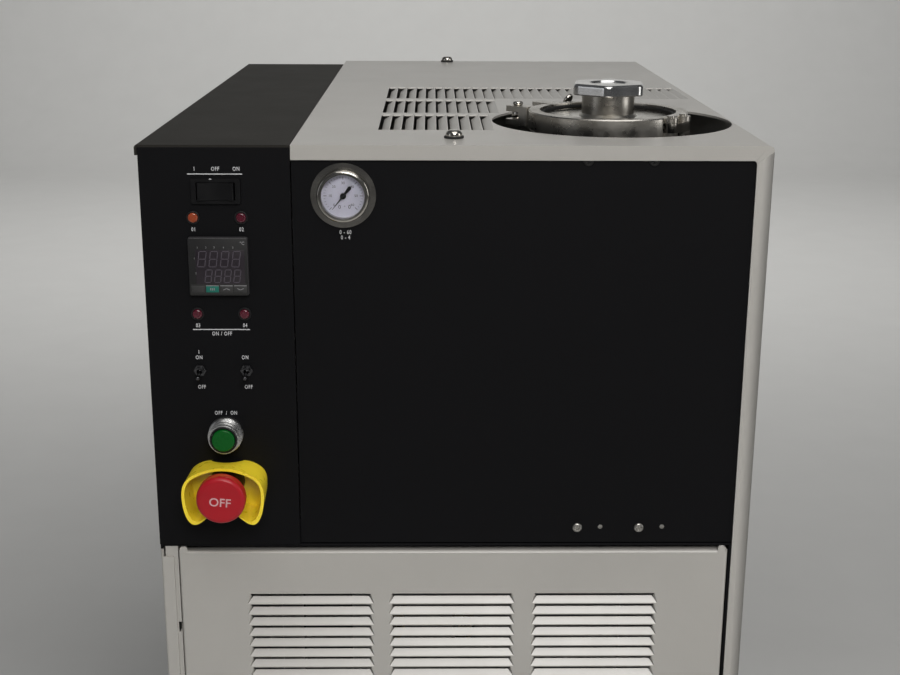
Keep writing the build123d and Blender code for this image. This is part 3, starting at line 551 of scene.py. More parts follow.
def louvre_master(width, pitch, strip, web, cut, hinge, gap, depth, tear, lean):
    """One pitch of louvred sheet, lying in XY with its flap hinged along the low edge and bent inwards.

    The flap is as long as the cut at its free edge and as the hinge at its low one. Its free edge drops by
    the depth and stands off the cut by the gap. A web is torn at each end and hangs down by the web's share
    of the depth. The flap's ends stand off the sheet by the tear, and its free corners lean in by the lean.
    """
    rest_selection()
    bpy.ops.mesh.primitive_plane_add(size=1)
    cell = bpy.context.object
    cell.scale = (width, pitch, 1)
    settle(cell)
    cut_y = pitch / 2 - strip
    hinge_y = -pitch / 2
    free_y = hinge_y + pitch / 4
    edit_mode()
    bpy.ops.mesh.select_all(action="SELECT")
    bpy.ops.mesh.bisect(plane_co=(0, cut_y, 0), plane_no=(0, 1, 0))
    for side in (-1, 1):
        bpy.ops.mesh.select_all(action="SELECT")
        run = Vector((side * (hinge - cut) / 2, hinge_y - cut_y, 0)).normalized()
        bpy.ops.mesh.bisect(plane_co=(side * cut / 2, cut_y, 0), plane_no=(run.y, -run.x, 0))

    # The flap comes loose along its cut and its ends, and swings in about its hinge
    choose(cell, "polygons", lambda face: abs(face.center.x) < width / 4 and face.center.y < cut_y)
    bpy.ops.mesh.split()
    object_mode()
    flap = max(cell.data.polygons, key=lambda face: (face.center.y < cut_y, face.area))
    corners = set(flap.vertices)
    choose(cell, "vertices", lambda point: point.index in corners)
    bpy.ops.transform.resize(value=(1 - 2 * tear / hinge, 1, 1), center_override=(0, 0, 0))
    choose(cell, "vertices", lambda point: point.index in corners and point.co.y > free_y)
    bpy.ops.transform.resize(value=(1 - 2 * lean / cut, 1, 1), center_override=(0, 0, 0))
    bpy.ops.transform.translate(value=(0, -gap, -depth))

    # Each end web hangs from the sheet's slanted edge
    for side in (-1, 1):
        ends = (Vector((side * cut / 2, cut_y, 0)), Vector((side * hinge / 2, hinge_y, 0)))
        choose(cell, "edges", lambda edge: runs_between(cell.data, edge, ends))
        bpy.ops.mesh.extrude_edges_move()
        object_mode()
        for point in cell.data.vertices:
            point.select = point.select and point.co.y > free_y
        edit_mode()
        bpy.ops.mesh.select_mode(type="VERT")
        bpy.ops.transform.translate(value=(-side * WEB_LEAN, -web * gap, -web * depth))
    merge(MERGE)
    return cell


def runs_between(mesh, edge, ends):
    """True for the edge that joins the two ends."""
    points = [mesh.vertices[index].co for index in edge.vertices]
    near = 0.01 * MM
    return all(any((point - end).length < near for point in points) for end in ends)


def louvre_bank(master, count, pitch, turn):
    """A bank of louvres in sheet metal, laid by the turn."""
    bank = twin_of(master)
    modify(bank, "ARRAY", count=count, use_relative_offset=False, use_constant_offset=True,
           constant_offset_displace=(0, -pitch, 0), use_merge_vertices=True, merge_threshold=MERGE)
    modify(bank, "SOLIDIFY", thickness=SHEET, offset=-1)
    bank.matrix_world = turn
    settle(bank)
    return bank


def press_sheet(context, node, name, windows, banks, web, opening=None, **sizes):
    """A copy of a CAD sheet with windows cut in it, each filled with its bank of louvres.

    A bank is its number of louvres, its origin and the axis that it is turned about by a quarter. The sizes
    of a louvre are in mm, and so are the radius and the place of the opening.
    """
    louvre = {size: value * MM for size, value in sizes.items()}
    sheet = twin_of(NODES[node])
    sheet.name = name
    pick(sheet)
    edit_mode()
    merge(0.001 * MM)
    for low, high in windows:
        window = block(high - low, (low + high) / 2)
        settle(window)
        cut_away(sheet, window)
    master = louvre_master(web=web, **louvre)
    parts = [louvre_bank(master, count, louvre["pitch"],
                         Matrix.Translation(origin) @ Matrix.Rotation(math.pi / 2, 4, axis))
             for count, origin, axis in banks]
    bpy.data.objects.remove(master)
    if opening:
        radius, x, y = opening
        cut_away(sheet, cylinder(radius * MM, 8 * MM, 160, place(x, y, 0)))
    return finish_piece(join([sheet] + parts), name, grey_coat(context), smooth=PRESSED_EDGE,
                        flats=True)


class CHILLER_OT_door(bpy.types.Operator):
    """Presses the lower door's three banks of louvres into its tray"""

    bl_idname = "chiller.door"
    bl_label = "Press Door"

    COLUMNS = (128.5, 251.9, 377.0)
    FIRST_CUT = -392.3
    ROWS = 47
    PITCH = 10.26
    WIDTH = 117.0
    CUT_DEPTH = (-1.0, 8.0)
    WEB = 0.8
    LOUVRE = {"cut": 105.0, "hinge": 110.4, "gap": 3.9, "depth": 3.6, "tear": 0.35, "lean": 1.6}

    def execute(self, context):
        high = self.FIRST_CUT + STRIP
        low = high - self.ROWS * self.PITCH
        front, back = self.CUT_DEPTH
        windows = [(place(x - self.WIDTH / 2, front, low), place(x + self.WIDTH / 2, back, high))
                   for x in self.COLUMNS]
        banks = [(self.ROWS, place(x, 0, high - self.PITCH / 2), "X") for x in self.COLUMNS]
        door = press_sheet(context, "louvred_door", "pressed_door", windows, banks, self.WEB,
                           width=self.WIDTH, pitch=self.PITCH, strip=STRIP, **self.LOUVRE)
        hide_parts("louvred_door")
        return {"FINISHED"}


class CHILLER_OT_cover(bpy.types.Operator):
    """Presses the top cover's three banks of louvres and trims the opening round the filler"""

    bl_idname = "chiller.cover"
    bl_label = "Press Cover"

    FIRST_CUT = 187.9
    PITCH = 10.04
    BANKS = ((143.1, 10), (261.9, 11), (380.6, 31))
    WIDTH = 111.0
    CUT_DEPTH = (-8.0, 1.0)
    WEB = 0.3
    LOUVRE = {"cut": 104.6, "hinge": 106.6, "gap": 2.3, "depth": 4.5, "tear": 0.8, "lean": 1.6}
    FILLER_OPENING = (107.4, 395.8, 153.2)

    def execute(self, context):
        left = self.FIRST_CUT - STRIP
        low, high = self.CUT_DEPTH
        windows = [(place(left, y - self.WIDTH / 2, low),
                    place(left + count * self.PITCH, y + self.WIDTH / 2, high)) for y, count in self.BANKS]
        banks = [(count, place(left + self.PITCH / 2, y, 0), "Z") for y, count in self.BANKS]
        cover = press_sheet(context, "top_and_side_cover", "pressed_cover", windows, banks, self.WEB,
                            self.FILLER_OPENING, width=self.WIDTH, pitch=self.PITCH, strip=STRIP,
                            **self.LOUVRE)
        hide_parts("top_and_side_cover")
        return {"FINISHED"}


# Fasteners

def pan_head_master(diameter, height):
    """A pan head with a cross recess, centred on the origin with its top along +Z."""
    head = cylinder(diameter / 2, height, 24)
    choose_top(head)
    bpy.ops.mesh.bevel(offset=height * 0.55, segments=4, affect="EDGES")
    tilt = 0.3
    for turn in (tilt, tilt + math.pi / 2):
        cut_away(head, block((diameter * 0.56, diameter * 0.13, height * 0.9), (0, 0, height / 2), turn))
    return head


def dome_screw_master(diameter, height, washer):
    """A button head on a rubber washer; the washer's face is at the origin and the head along +Z."""
    thickness = 2.0 * MM
    dome = cylinder(diameter / 2, height, 36, (0, 0, thickness + height / 2))
    settle(dome)
    choose_top(dome)
    bpy.ops.mesh.bevel(offset=height * 0.8, segments=6, affect="EDGES", clamp_overlap=True)
    ring = cylinder(washer / 2, thickness, 36, (0, 0, thickness / 2))
    settle(ring)
    soften(ring, 0.6 * MM, 3)
    return dome, ring


def rivet_master(diameter):
    """A flat rivet with a sunk middle, centred on the origin."""
    height = 0.9 * MM
    rivet = cylinder(diameter / 2, height, 20)
    choose_top(rivet)
    bpy.ops.mesh.inset(thickness=diameter * 0.22, depth=-height / 3)
    soften(rivet, 0.25 * MM, 2)
    return rivet


class CHILLER_OT_fasteners(bpy.types.Operator):
    """Models the pan heads, domed lid screws, washers and rivets of the cabinet"""

    bl_idname = "chiller.fasteners"
    bl_label = "Add Fasteners"

    # Places across and up on the front and the back, back and up on the left side, and across and back on top
    PANEL_SETBACK = 2.0
    BACK = 711.0
    PANEL_SCREWS = ((359.9, -330.8), (413.2, -330.9))
    LIP_SCREWS = ((359.6, -12.6), (412.4, -12.6))
    PANEL_RIVETS = ((379.8, -329.9), (433.2, -329.9))
    LID_SCREWS = ((252.4, 41.7), (254.7, 752.0))
    SIDE_SCREWS = ((36.0, -33.0), (355.0, -33.0), (675.0, -33.0), (36.0, -320.0), (675.0, -320.0))
    BACK_SCREWS = ((14.0, -30.0), (260.0, -30.0), (494.0, -30.0), (14.0, -330.0), (494.0, -330.0),
                   (494.0, -620.0), (494.0, -880.0), (30.0, -620.0), (30.0, -880.0))
    RIVET = 4.0 * MM

    def fasten(self, master, points, direction, name, slot, material):
        """One piece of the master's copies at the points."""
        heads = [stand(twin_of(master), point, direction) for point in points]
        finish_piece(join(heads), name, material)

    def execute(self, context):
        sizes = context.scene.chiller_fasteners
        zinc = polished_metal("zinc screws", (0.36, 0.35, 0.33), 0.3)
        # Black screws; the zinc lip screws wear this finish too, as painted shade from the lip above them
        dark = polished_metal("black screws", (0.05, 0.05, 0.05), 0.35)
        rubber = moulded("washer rubber", (0.015, 0.015, 0.015), 0.6, 0.05 * MM, 0.3)
        screw = pan_head_master(sizes.head_diameter, sizes.head_height)
        rivet = rivet_master(self.RIVET)
        dome, ring = dome_screw_master(sizes.dome_diameter, sizes.dome_height, sizes.washer_diameter)
        panel, lip, rivets = ([place(x, self.PANEL_SETBACK, z) for x, z in points]
                              for points in (self.PANEL_SCREWS, self.LIP_SCREWS, self.PANEL_RIVETS))
        side = [place(0, y, z) for y, z in self.SIDE_SCREWS]
        back = [place(x, self.BACK, z) for x, z in self.BACK_SCREWS]
        lid = [place(x, y, 0) for x, y in self.LID_SCREWS]
        self.fasten(screw, panel, FORWARD, "panel_screws", "zinc", zinc)
        # The lip screws are zinc, darkened here as painted shade under the lip
        self.fasten(screw, lip, FORWARD, "lip_screws", "zinc", dark)
        self.fasten(screw, side, LEFTWARD, "side_screws", "zinc", dark)
        self.fasten(screw, back, BACKWARD, "back_screws", "zinc", zinc)
        self.fasten(rivet, rivets, FORWARD, "panel_rivets", "zinc", zinc)
        self.fasten(dome, lid, UPWARD, "lid_screws", "stainless", bright_steel(context))
        self.fasten(ring, lid, UPWARD, "lid_screw_washers", "gasket_rubber", rubber)
        for master in (screw, rivet, dome, ring):
            bpy.data.objects.remove(master)
        return {"FINISHED"}


# Printed marks and thin plates, all facing forward

CAPITAL_SHARE = 0.72


def printed_text(body, height, ink_depth, point, turn=0.0, narrow=1.0, weight=0.0, spacing=1.0):
    """Flat lettering made a thin mesh and centred on the point."""
    rest_selection()
    bpy.ops.object.text_add()
    text = bpy.context.object
    settings = {"body": body, "size": height / CAPITAL_SHARE, "align_x": "CENTER", "align_y": "CENTER",
                "extrude": ink_depth / 2, "offset": weight, "resolution_u": 3, "space_character": spacing}
    for name, value in settings.items():
        setattr(text.data, name, value)
    bpy.ops.object.convert(target="MESH")
    return stand(bpy.context.object, point, turn=turn, narrow=narrow)


def printed_bar(width, height, ink_depth, point, turn=0.0):
    bar = block((width, height, ink_depth))
    settle(bar)
    return stand(bar, point, turn=turn)


def face_plate(width, height, thickness, edge, point):
    """A thin plate with rounded edges, its back centred on the point."""
    plate = block((width, height, thickness), (0, 0, thickness / 2))
    settle(plate)
    soften(plate, edge, 2)
    return stand(plate, point)


def collar(inner, outer, depth, edge, point):
    """A ring with a blind middle and rounded edges, its back centred on the point."""
    ring = cylinder(outer, depth, 64, (0, 0, depth / 2))
    settle(ring)
    choose_top(ring)
    bpy.ops.mesh.inset(thickness=outer - inner)
    bpy.ops.mesh.extrude_region_move(TRANSFORM_OT_translate={"value": (0, 0, -0.8 * depth)})
    soften(ring, edge, 3, math.radians(50))
    return stand(ring, point)


class CHILLER_OT_legends(bpy.types.Operator):
    """Prints the plain words, numerals and rules of the control panel"""

    bl_idname = "chiller.legends"
    bl_label = "Print Legends"

    NARROW = 0.74
    SPACING = 1.18
    WORDS = (
        ("1", 44.6, -19.3), ("OFF", 61.3, -19.3), ("ON", 78.0, -19.3),
        ("01", LAMP_LEFT, -68.4), ("02", LAMP_RIGHT, -68.4),
        ("03", LAMP_LEFT, -148.9), ("04", LAMP_RIGHT, -148.9), ("ON / OFF", COLUMN, -156.0),
        ("1", 41.4, -171.9), ("ON", 41.4, -176.5), ("ON", 79.4, -176.5),
        ("OFF", 42.6, -202.2), ("OFF", 81.4, -202.2),
        ("OFF  /  ON", 61.6, -225.2),
    )
    RULES = ((60.7, -23.3, 43.8), (60.85, -152.3, 46.9))
    GAUGE_WORDS = (("0 - 60", 164.2, -71.0), ("0 - 4", 164.2, -75.4))
    ROCKER_MARK = (57.4, -27.0, 2.0, 0.8)
    HEAD_WORD = (60.8, -286.4, 7.4)
    HEAD_TURN = math.radians(-5)
    HEAD_WEIGHT = 0.12 * MM
    HEAD_SUNK = 0.02
    HEAD_PRINT = (0.66, 0.40, 0.42)

    def execute(self, context):
        marks = context.scene.chiller_marks
        lift = -marks.ink / MM / 2
        setback = front_of("front_panel")
        places = [(word, place(x, lift, z)) for word, x, z in self.WORDS]
        places += [(word, place(x, setback + lift, z)) for word, x, z in self.GAUGE_WORDS]
        parts = [printed_text(word, marks.letter_height, marks.ink, point, narrow=self.NARROW,
                              weight=marks.weight, spacing=self.SPACING) for word, point in places]
        parts += [printed_bar(width * MM, marks.rule_width, marks.ink, place(x, lift, z))
                  for x, z, width in self.RULES]
        x, z, width, height = self.ROCKER_MARK
        mark_at = place(x, front_of("rocker_bezel") + lift, z)
        parts.append(printed_bar(width * MM, height * MM, marks.ink, mark_at))
        white = context.scene.chiller_finish.print_white
        finish_piece(join(parts), "panel_legends", ink("panel print", white))

        x, z, height = self.HEAD_WORD
        head_at = place(x, front_of("emergency_button") + self.HEAD_SUNK, z)
        word = printed_text("OFF", height * MM, marks.ink, head_at, self.HEAD_TURN, weight=self.HEAD_WEIGHT)
        finish_piece(word, "emergency_word", ink("head print", self.HEAD_PRINT),
                     body="emergency_head")
        return {"FINISHED"}


class CHILLER_OT_gauge(bpy.types.Operator):
    """Prints the gauge's scale and numerals and fits the needle's hub"""

    bl_idname = "chiller.gauge"
    bl_label = "Finish Gauge"

    START = math.radians(225)
    SWEEP = math.radians(270)
    DIVISIONS = 30
    NUMBERED = 5
    STEP = 2
    INK = 0.05 * MM
    LIFT = 0.03
    RIM = 15.9
    LONG_MARK = (2.6, 0.4)
    SHORT_MARK = (1.4, 0.22)
    NUMERAL_RADIUS = 10.4
    NUMERAL_HEIGHT = 2.1
    LOW_MARKS = (("0", -3.0, -9.2), ("-", 1.0, -8.0), ("0", 4.9, -9.1))
    LOW_HEIGHT = 3.1
    DIAL_PRINT = (0.02, 0.02, 0.03)
    HUB_RADIUS = 2.3
    HUB_DEPTH = 0.7
    HUB_LIFT = 0.3

    def on_dial(self, radius, angle):
        across, up = GAUGE
        return place(across + radius * math.cos(angle), front_of("gauge_dial") - self.LIFT,
                     up + radius * math.sin(angle))

    def execute(self, context):
        parts = []
        for division in range(self.DIVISIONS + 1):
            angle = self.START - self.SWEEP * division / self.DIVISIONS
            numbered = division % self.NUMBERED == 0
            length, width = self.LONG_MARK if numbered else self.SHORT_MARK
            point = self.on_dial(self.RIM - length / 2, angle)
            parts.append(printed_bar(length * MM, width * MM, self.INK, point, angle))
            if numbered:
                numeral = str(division * self.STEP)
                point = self.on_dial(self.NUMERAL_RADIUS, angle)
                parts.append(printed_text(numeral, self.NUMERAL_HEIGHT * MM, self.INK, point))
        for word, dx, dz in self.LOW_MARKS:
            point = self.on_dial(0, 0) + Vector((dx * MM, 0, dz * MM))
            parts.append(printed_text(word, self.LOW_HEIGHT * MM, self.INK, point))
        finish_piece(join(parts), "gauge_scale", ink("dial print", self.DIAL_PRINT))

        across, up = GAUGE
        hub = cylinder(self.HUB_RADIUS * MM, self.HUB_DEPTH * MM, 32)
        stand(hub, place(across, front_of("gauge_needle") - self.HUB_LIFT, up))
        soften(hub, 0.3 * MM, 3)
        finish_piece(hub, "gauge_hub", needle_black(), body="needle")
        return {"FINISHED"}


class CHILLER_OT_controller(bpy.types.Operator):
    """Adds the controller's face, dark window, unlit digits, small marks and keys"""

    bl_idname = "chiller.controller"
    bl_label = "Finish Controller"

    # Width, height, thickness and rounding of each plate, and places from the middle of the face
    FACE = (47.4, 47.2, 0.5, 0.3)
    WINDOW = (39.5, 28.6, 0.12, 0.05)
    WINDOW_AT = (1.8, -0.1)
    BAND = (45.8, 8.4, 0.12, 0.05)
    BAND_AT = (0.0, -18.6)
    KEY = (10.4, 5.4, 0.55, 0.25)
    KEYS = (-16.7, -5.3, 6.1, 17.5)
    KEY_Z = -18.3
    INK = 0.05
    DIGIT_LIFT = 0.14
    KEY_LIFT = 0.57
    SMALL_LIFT = 0.13
    UNIT_LIFT = 0.03

    # Columns, height on the face, width and height of each row of digits
    DIGITS = (((-12.8, -3.6, 5.6, 14.8), 6.65, 6.6, 13.5), ((-8.0, -0.25, 7.5, 15.25), -7.5, 5.7, 11.2))
    STROKE = 0.75
    SLANT = math.radians(8)
    KEY_LINE = (10.2, 0.55, 2.9)
    TALLY = (0.7, 2.0, 1.4)
    CHEVRON = (3.0, 0.55, 1.25)
    CHEVRON_TURN = math.radians(24)
    SMALL = (("1", -16.1, 16.2), ("2", -9.2, 16.2), ("3", -2.6, 16.2), ("4", 5.0, 16.2), ("5", 12.5, 16.2),
             ("1", -18.9, 7.0), ("2", -18.1, -5.2))
    UNIT = ("\u00b0C", 20.0, 19.6)

    # Height and added weight of the letters
    SMALL_PRINT = (1.5, 0.04)
    UNIT_PRINT = (2.6, 0.05)

    def at(self, x, z, y):
        return place(COLUMN + x, y, CONTROLLER_Z + z)

    def plate(self, sizes, x, z, y):
        return face_plate(*(size * MM for size in sizes), self.at(x, z, y))

    def bar(self, width, height, x, z, y, turn=0.0):
        return printed_bar(width * MM, height * MM, self.INK * MM, self.at(x, z, y), turn)

    def word(self, print_size, y, text, x, z):
        height, weight = print_size
        return printed_text(text, height * MM, self.INK * MM, self.at(x, z, y), weight=weight * MM)

    def case(self, parts, name, material):
        finish_piece(join(parts), name, material)

    def digit(self, x, z, width, height, y):
        """Seven bars set as a figure eight, leaning a little to the right."""
        across = width / 2 - self.STROKE / 2
        up = height / 2 - self.STROKE / 2
        flat = width - 1.9 * self.STROKE
        tall = height / 2 - 1.4 * self.STROKE
        slope = math.tan(self.SLANT)
        upright = math.pi / 2 - self.SLANT
        parts = [self.bar(flat, self.STROKE, x + dz * slope, z + dz, y) for dz in (up, 0, -up)]
        parts += [self.bar(tall, self.STROKE, x + side * across + dz * slope, z + dz, y, upright)
                  for side in (-1, 1) for dz in (up / 2, -up / 2)]
        return parts

    def chevron(self, x, z, y, way):
        width, height, apart = self.CHEVRON
        return [self.bar(width, height, x + side * apart, z, y, -way * side * self.CHEVRON_TURN)
                for side in (-1, 1)]

    def execute(self, context):
        front = front_of("temperature_controller")
        face_y = front - self.FACE[2]
        self.case([self.plate(self.FACE, 0, 0, front)], "controller_face",
                  moulded("instrument face", (0.014, 0.014, 0.0145), 0.5, gloss=0.3))
        self.case([self.plate(self.WINDOW, *self.WINDOW_AT, face_y)], "controller_window",
                  moulded("instrument window", (0.018, 0.0135, 0.0185), 0.35, 0.0, 0.4))
        self.case([self.plate(self.BAND, *self.BAND_AT, face_y)], "controller_key_band",
                  moulded("key band", (0.024, 0.024, 0.0235), 0.55, gloss=0.3))

        keys = [self.plate(self.KEY, x, self.KEY_Z, face_y) for x in self.KEYS]
        select_key = keys.pop(1)
        self.case(keys, "controller_keys", moulded("grey keys", (0.034, 0.034, 0.034), 0.5, gloss=0.35))
        self.case([select_key], "controller_select_key",
                  moulded("teal key", (0.008, 0.13, 0.10), 0.5, gloss=0.35))

        digits = []
        for columns, z, width, height in self.DIGITS:
            for x in columns:
                digits += self.digit(x, z, width, height, face_y - self.DIGIT_LIFT)
        self.case(digits, "controller_digits",
                  moulded("unlit segments", (0.070, 0.060, 0.075), 0.5, 0.0, 0.3))

        # A line over each marked key, three strokes on the first and an arrow on the others
        key_y = face_y - self.KEY_LIFT
        width, height, rise = self.KEY_LINE
        marks = [self.bar(width, height, x, self.KEY_Z + rise, key_y) for x in self.KEYS[1:]]
        width, height, apart = self.TALLY
        tally = [self.KEYS[1] + step * apart for step in (-1, 0, 1)]
        marks += [self.bar(width, height, x, self.KEY_Z, key_y) for x in tally]
        marks += self.chevron(self.KEYS[2], self.KEY_Z, key_y, 1)
        marks += self.chevron(self.KEYS[3], self.KEY_Z, key_y, -1)
        marks += [self.word(self.SMALL_PRINT, face_y - self.SMALL_LIFT, *small) for small in self.SMALL]
        marks.append(self.word(self.UNIT_PRINT, face_y - self.UNIT_LIFT, *self.UNIT))
        self.case(marks, "controller_marks", ink("instrument print", (0.24, 0.24, 0.25)))
        return {"FINISHED"}


class CHILLER_OT_trim(bpy.types.Operator):
    """Adds the lamps' black rims, the power button's rings and a black ring on the lid that is painted shadow
    in the gap under the clamp
    """

    bl_idname = "chiller.trim"
    bl_label = "Fit Trim"

    # Inner radius, outer radius and depth of each ring
    LAMPS = ("level_lamp", "fault_lamp", "high_pressure_lamp", "low_pressure_lamp")
    RIM = (4.05, 5.4, 1.3)
    BUTTON_RING = (9.85, 11.5, 2.0)
    BUTTON_RING_PROUD = 0.9
    SEAL = (57.4, 60.9, 3.0)
    RIDGES = (-5.0, -7.4, -9.8)
    RIDGE_RADIUS = 13.75
    RIDGE_THICKNESS = 0.5

    def ring(self, sizes, edge, point):
        return collar(*(size * MM for size in sizes), edge * MM, point)

    def execute(self, context):
        black = moulded("rim plastic", (0.006, 0.006, 0.0065), 0.45, gloss=0.3)
        centres = [middle_of(name) for name in self.LAMPS]
        rims = [self.ring(self.RIM, 0.3, Vector((centre.x, FRONT, centre.z))) for centre in centres]
        finish_piece(join(rims), "lamp_rims", black)

        centre = middle_of("power_button_bezel")
        bezel_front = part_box("power_button_bezel")[0].y
        behind = (self.BUTTON_RING[2] - self.BUTTON_RING_PROUD) * MM
        ring = self.ring(self.BUTTON_RING, 0.4, Vector((centre.x, bezel_front + behind, centre.z)))
        finish_piece(ring, "power_button_ring", black)
        ridges = []
        for y in self.RIDGES:
            rest_selection()
            bpy.ops.mesh.primitive_torus_add(
                major_radius=self.RIDGE_RADIUS * MM, minor_radius=self.RIDGE_THICKNESS * MM,
                major_segments=64, minor_segments=10)
            ridges.append(stand(bpy.context.object, Vector((centre.x, FRONT + y * MM, centre.z))))
        finish_piece(join(ridges), "power_bezel_ridges", satin_nickel())

        # A black ring on the lid just inside the clamp: painted shadow standing in for the dark gap between
        # the clamp ring and the lid
        centre = middle_of("tank_lid")
        inner, outer, depth = self.SEAL
        shadow_ring = cylinder(outer * MM, depth * MM, 96)
        choose(shadow_ring, "polygons", lambda face: abs(face.normal.z) > FACES_UP)
        bpy.ops.mesh.inset(thickness=(outer - inner) * MM)
        bpy.ops.mesh.bridge_edge_loops()
        object_mode()
        shadow_ring.location = (centre.x, centre.y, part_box("tank_lid")[1].z + depth / 2 * MM)
        settle(shadow_ring)
        soften(shadow_ring, 0.6 * MM, 3)
        finish_piece(shadow_ring, "lid_seal", gasket_rubber())
        return {"FINISHED"}


class CHILLER_OT_swing_bolt(bpy.types.Operator):
    """Threads the clamp's swing bolt and sets its wing nut with one wing up"""

    bl_idname = "chiller.swing_bolt"
    bl_label = "Thread Swing Bolt"

    # Distances along the bolt are from the line through the middle of the clamp
    TURN = math.radians(-41)
    ACROSS = -81.0
    PIVOT = -27.0
    TIP = 60.0
    SHANK = 3.0
    THREAD = 1.25
    THREAD_START = 6.0
    EYE = (3.0, 8.0)
    BOSS = (5.5, 6.4)
    KNOB = (4.6, 4.0)
    NUT = (43.0, 9.0, 6.0)
    WING = (9.0, 5.4, 3.2)
    WING_OVAL = 1.25
    WING_AHEAD = 2.0
    WING_TURN = math.radians(58)

    def bar(self, along, depth, radius):
        """A length of the bolt, centred at a distance along it."""
        bar = cylinder(radius * MM, depth * MM, 28)
        bar.matrix_world = self.on_axis(along) @ Matrix.Rotation(math.pi / 2, 4, "X")
        settle(bar)
        return bar

    def on_axis(self, along):
        """The clamp's turn, at a distance along the bolt's middle line."""
        return self.clamp @ Matrix.Translation((self.ACROSS * MM, along * MM, self.seat))

    def execute(self, context):
        centre = middle_of("tank_lid")
        self.clamp = Matrix.Translation((centre.x, centre.y, 0)) @ Matrix.Rotation(self.TURN, 4, "Z")
        self.seat = middle_of("clamp_front_half").z
        ring_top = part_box("clamp_front_half")[1].z

        # The thread is a row of crests along the shank
        crest = self.bar(0, self.THREAD, self.SHANK)
        soften(crest, 0.45 * MM, 1, math.radians(50))
        start = self.PIVOT + self.THREAD_START
        parts = []
        for step in range(int((self.TIP - start) / self.THREAD)):
            turn = twin_of(crest)
            turn.location = self.clamp.to_3x3() @ Vector((0, (start + step * self.THREAD) * MM, 0))
            settle(turn)
            parts.append(turn)
        bpy.data.objects.remove(crest)

        # Eye, boss and knob at the pivot
        ahead, length = self.EYE
        parts.append(self.bar(self.PIVOT + ahead, length, self.SHANK))
        pivot = self.on_axis(self.PIVOT).to_translation()
        radius, height = self.BOSS
        boss = cylinder(radius * MM, height * MM, 32, pivot)
        soften(boss, 0.5 * MM, 2)
        radius, height = self.KNOB
        knob = cylinder(radius * MM, height * MM, 32, (pivot.x, pivot.y, ring_top + height / 2 * MM))
        soften(knob, 1.7 * MM, 4)
        parts += [boss, knob]

        # Wing nut: a rounded hub and two rounded ears
        along, length, radius = self.NUT
        hub = self.bar(along, length, radius)
        soften(hub, 1.2 * MM, 3)
        parts.append(hub)
        reach, size, thickness = self.WING
        turned = self.on_axis(along + self.WING_AHEAD) @ Matrix.Rotation(-self.WING_TURN, 4, "Y")
        for side in (-1, 1):
            ear = cylinder(size * MM, thickness * MM, 28)
            ear.scale = (self.WING_OVAL, 1.0, 1)
            settle(ear)
            soften(ear, 1.1 * MM, 3)
            ear.matrix_world = turned @ Matrix.Translation((side * reach * MM, 0, 0))
            settle(ear)
            parts.append(ear)
        bolt = finish_piece(join(parts), "swing_bolt", bright_steel(context))
        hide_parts("clamp_bolt")
        return {"FINISHED"}


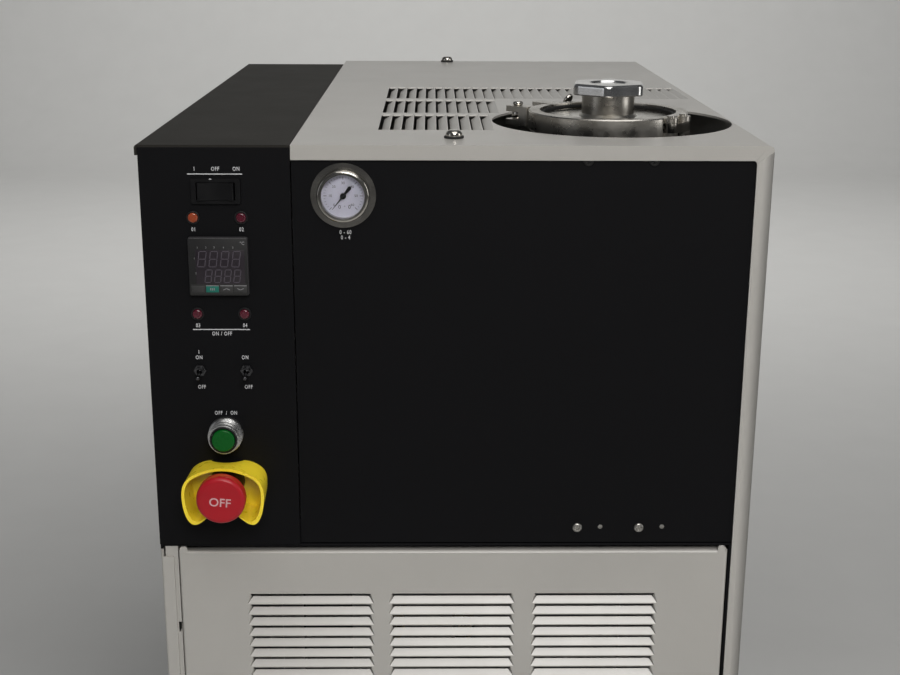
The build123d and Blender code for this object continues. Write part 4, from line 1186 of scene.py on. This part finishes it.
class CHILLER_OT_stage(bpy.types.Operator):
    """Sets the pale floor, the soft lights and the photograph's camera"""

    bl_idname = "chiller.stage"
    bl_label = "Build Stage"

    # From the left face, the front and the top in mm
    CAMERA_AT = (233.134, -1098.652, 161.093)

    # Name, width and height, power, place, aim and colour of each light, in metres
    LIGHTS = (
        ("key softbox", (1.5, 1.1), "key_power", (0.45, -3.2, 2.85), (0, -0.38, 0.7), (1.0, 0.98, 0.95)),
        ("ceiling light", (2.6, 2.2), "ceiling_power", (0.3, -1.3, 3.3), (0, -0.2, 0.8), (1.0, 0.99, 0.97)),
        ("left fill", (1.2, 2.0), "fill_power", (-3.2, -1.8, 1.5), (0, 0, 0.7), (0.95, 0.97, 1.0)),
        ("right fill", (1.2, 2.0), "right_power", (3.2, -0.9, 1.5), (0, 0, 0.7), (1.0, 0.99, 0.97)),
        ("backdrop wash", (5.0, 1.0), "wash_power", (0, 2.6, 3.4), (0, 6.5, 1.2), (1.0, 0.99, 0.97)),
    )
    FLOOR_REACH = 7
    BACKDROP_HEIGHT = 5
    BACKDROP_BEND = 1.5
    FLOOR_GREY = (0.62, 0.62, 0.61)
    AIR_COLOUR = (0.80, 0.82, 0.85, 1)

    def camera(self, context, settings):
        data = bpy.data.cameras.new("camera")
        data.lens = settings.lens
        data.sensor_width = 36.0
        data.clip_start = 0.05
        data.clip_end = 60
        camera = bpy.data.objects.new("camera", data)
        context.scene.collection.objects.link(camera)
        yaw = Matrix.Rotation(-settings.yaw, 4, "Z")
        pitch = Matrix.Rotation(math.pi / 2 - settings.pitch, 4, "X")
        roll = Matrix.Rotation(settings.roll, 4, "Z")
        camera.matrix_world = Matrix.Translation(place(*self.CAMERA_AT)) @ yaw @ pitch @ roll
        context.scene.camera = camera

    def light(self, context, name, size, power, at, aim, colour):
        data = bpy.data.lights.new(name, "AREA")
        data.shape = "RECTANGLE"
        data.size, data.size_y = size
        data.energy = power
        data.color = colour
        light = bpy.data.objects.new(name, data)
        context.scene.collection.objects.link(light)
        light.location = at
        light.rotation_euler = (Vector(aim) - Vector(at)).to_track_quat("-Z", "Y").to_euler()

    def execute(self, context):
        settings = context.scene.chiller_stage
        self.camera(context, settings)
        rest_selection()
        bpy.ops.mesh.primitive_plane_add(size=2)
        floor = bpy.context.object
        floor.scale = (self.FLOOR_REACH, self.FLOOR_REACH, 1)
        settle(floor)
        points = floor.data.vertices
        choose(floor, "edges", lambda edge: all(points[index].co.y > 1 for index in edge.vertices))
        bpy.ops.mesh.extrude_region_move(TRANSFORM_OT_translate={"value": (0, 0, self.BACKDROP_HEIGHT)})
        soften(floor, self.BACKDROP_BEND, 12, math.radians(60))
        bpy.ops.object.shade_smooth()
        floor.name = "floor"
        floor.data.materials.append(powder_coat("studio floor", self.FLOOR_GREY, 0.7, 0.0, 0.02))

        for name, size, power, at, aim, colour in self.LIGHTS:
            self.light(context, name, size, getattr(settings, power), at, aim, colour)
        world = bpy.data.worlds.new("studio air")
        world.use_nodes = True
        fill(world.node_tree.nodes["Background"], {"Color": self.AIR_COLOUR, "Strength": settings.air})
        context.scene.world = world
        context.scene.view_settings.view_transform = "Standard"
        return {"FINISHED"}


class CHILLER_PT_sidebar(bpy.types.Panel):
    """The chiller's steps in the sidebar"""

    bl_label = "Chiller"
    bl_idname = "CHILLER_PT_sidebar"
    bl_space_type = "VIEW_3D"
    bl_region_type = "UI"
    bl_category = "Chiller"

    def draw(self, context):
        for step in STEPS:
            self.layout.operator(step.bl_idname)
        for group in GROUPS:
            settings = getattr(context.scene, group)
            box = self.layout.box()
            for name in settings.__annotations__:
                box.prop(settings, name)


STEPS = (
    CHILLER_OT_paint,
    CHILLER_OT_door,
    CHILLER_OT_cover,
    CHILLER_OT_fasteners,
    CHILLER_OT_legends,
    CHILLER_OT_gauge,
    CHILLER_OT_controller,
    CHILLER_OT_trim,
    CHILLER_OT_swing_bolt,
    CHILLER_OT_stage,
)
GROUPS = {
    "chiller_finish": ChillerFinish,
    "chiller_marks": ChillerMarks,
    "chiller_fasteners": ChillerFasteners,
    "chiller_stage": ChillerStage,
}


def register():
    for group in GROUPS.values():
        bpy.utils.register_class(group)
    for name, group in GROUPS.items():
        setattr(bpy.types.Scene, name, bpy.props.PointerProperty(type=group))
    for step in STEPS:
        bpy.utils.register_class(step)
    bpy.utils.register_class(CHILLER_PT_sidebar)


def unregister():
    bpy.utils.unregister_class(CHILLER_PT_sidebar)
    for step in reversed(STEPS):
        bpy.utils.unregister_class(step)
    for name, group in GROUPS.items():
        delattr(bpy.types.Scene, name)
        bpy.utils.unregister_class(group)


def main():
    register()
    rest_selection()
    bpy.ops.chiller.paint()
    bpy.ops.chiller.door()
    bpy.ops.chiller.cover()
    bpy.ops.chiller.fasteners()
    bpy.ops.chiller.legends()
    bpy.ops.chiller.gauge()
    bpy.ops.chiller.controller()
    bpy.ops.chiller.trim()
    bpy.ops.chiller.swing_bolt()
    bpy.ops.chiller.stage()


if __name__ == "__main__":
    main()
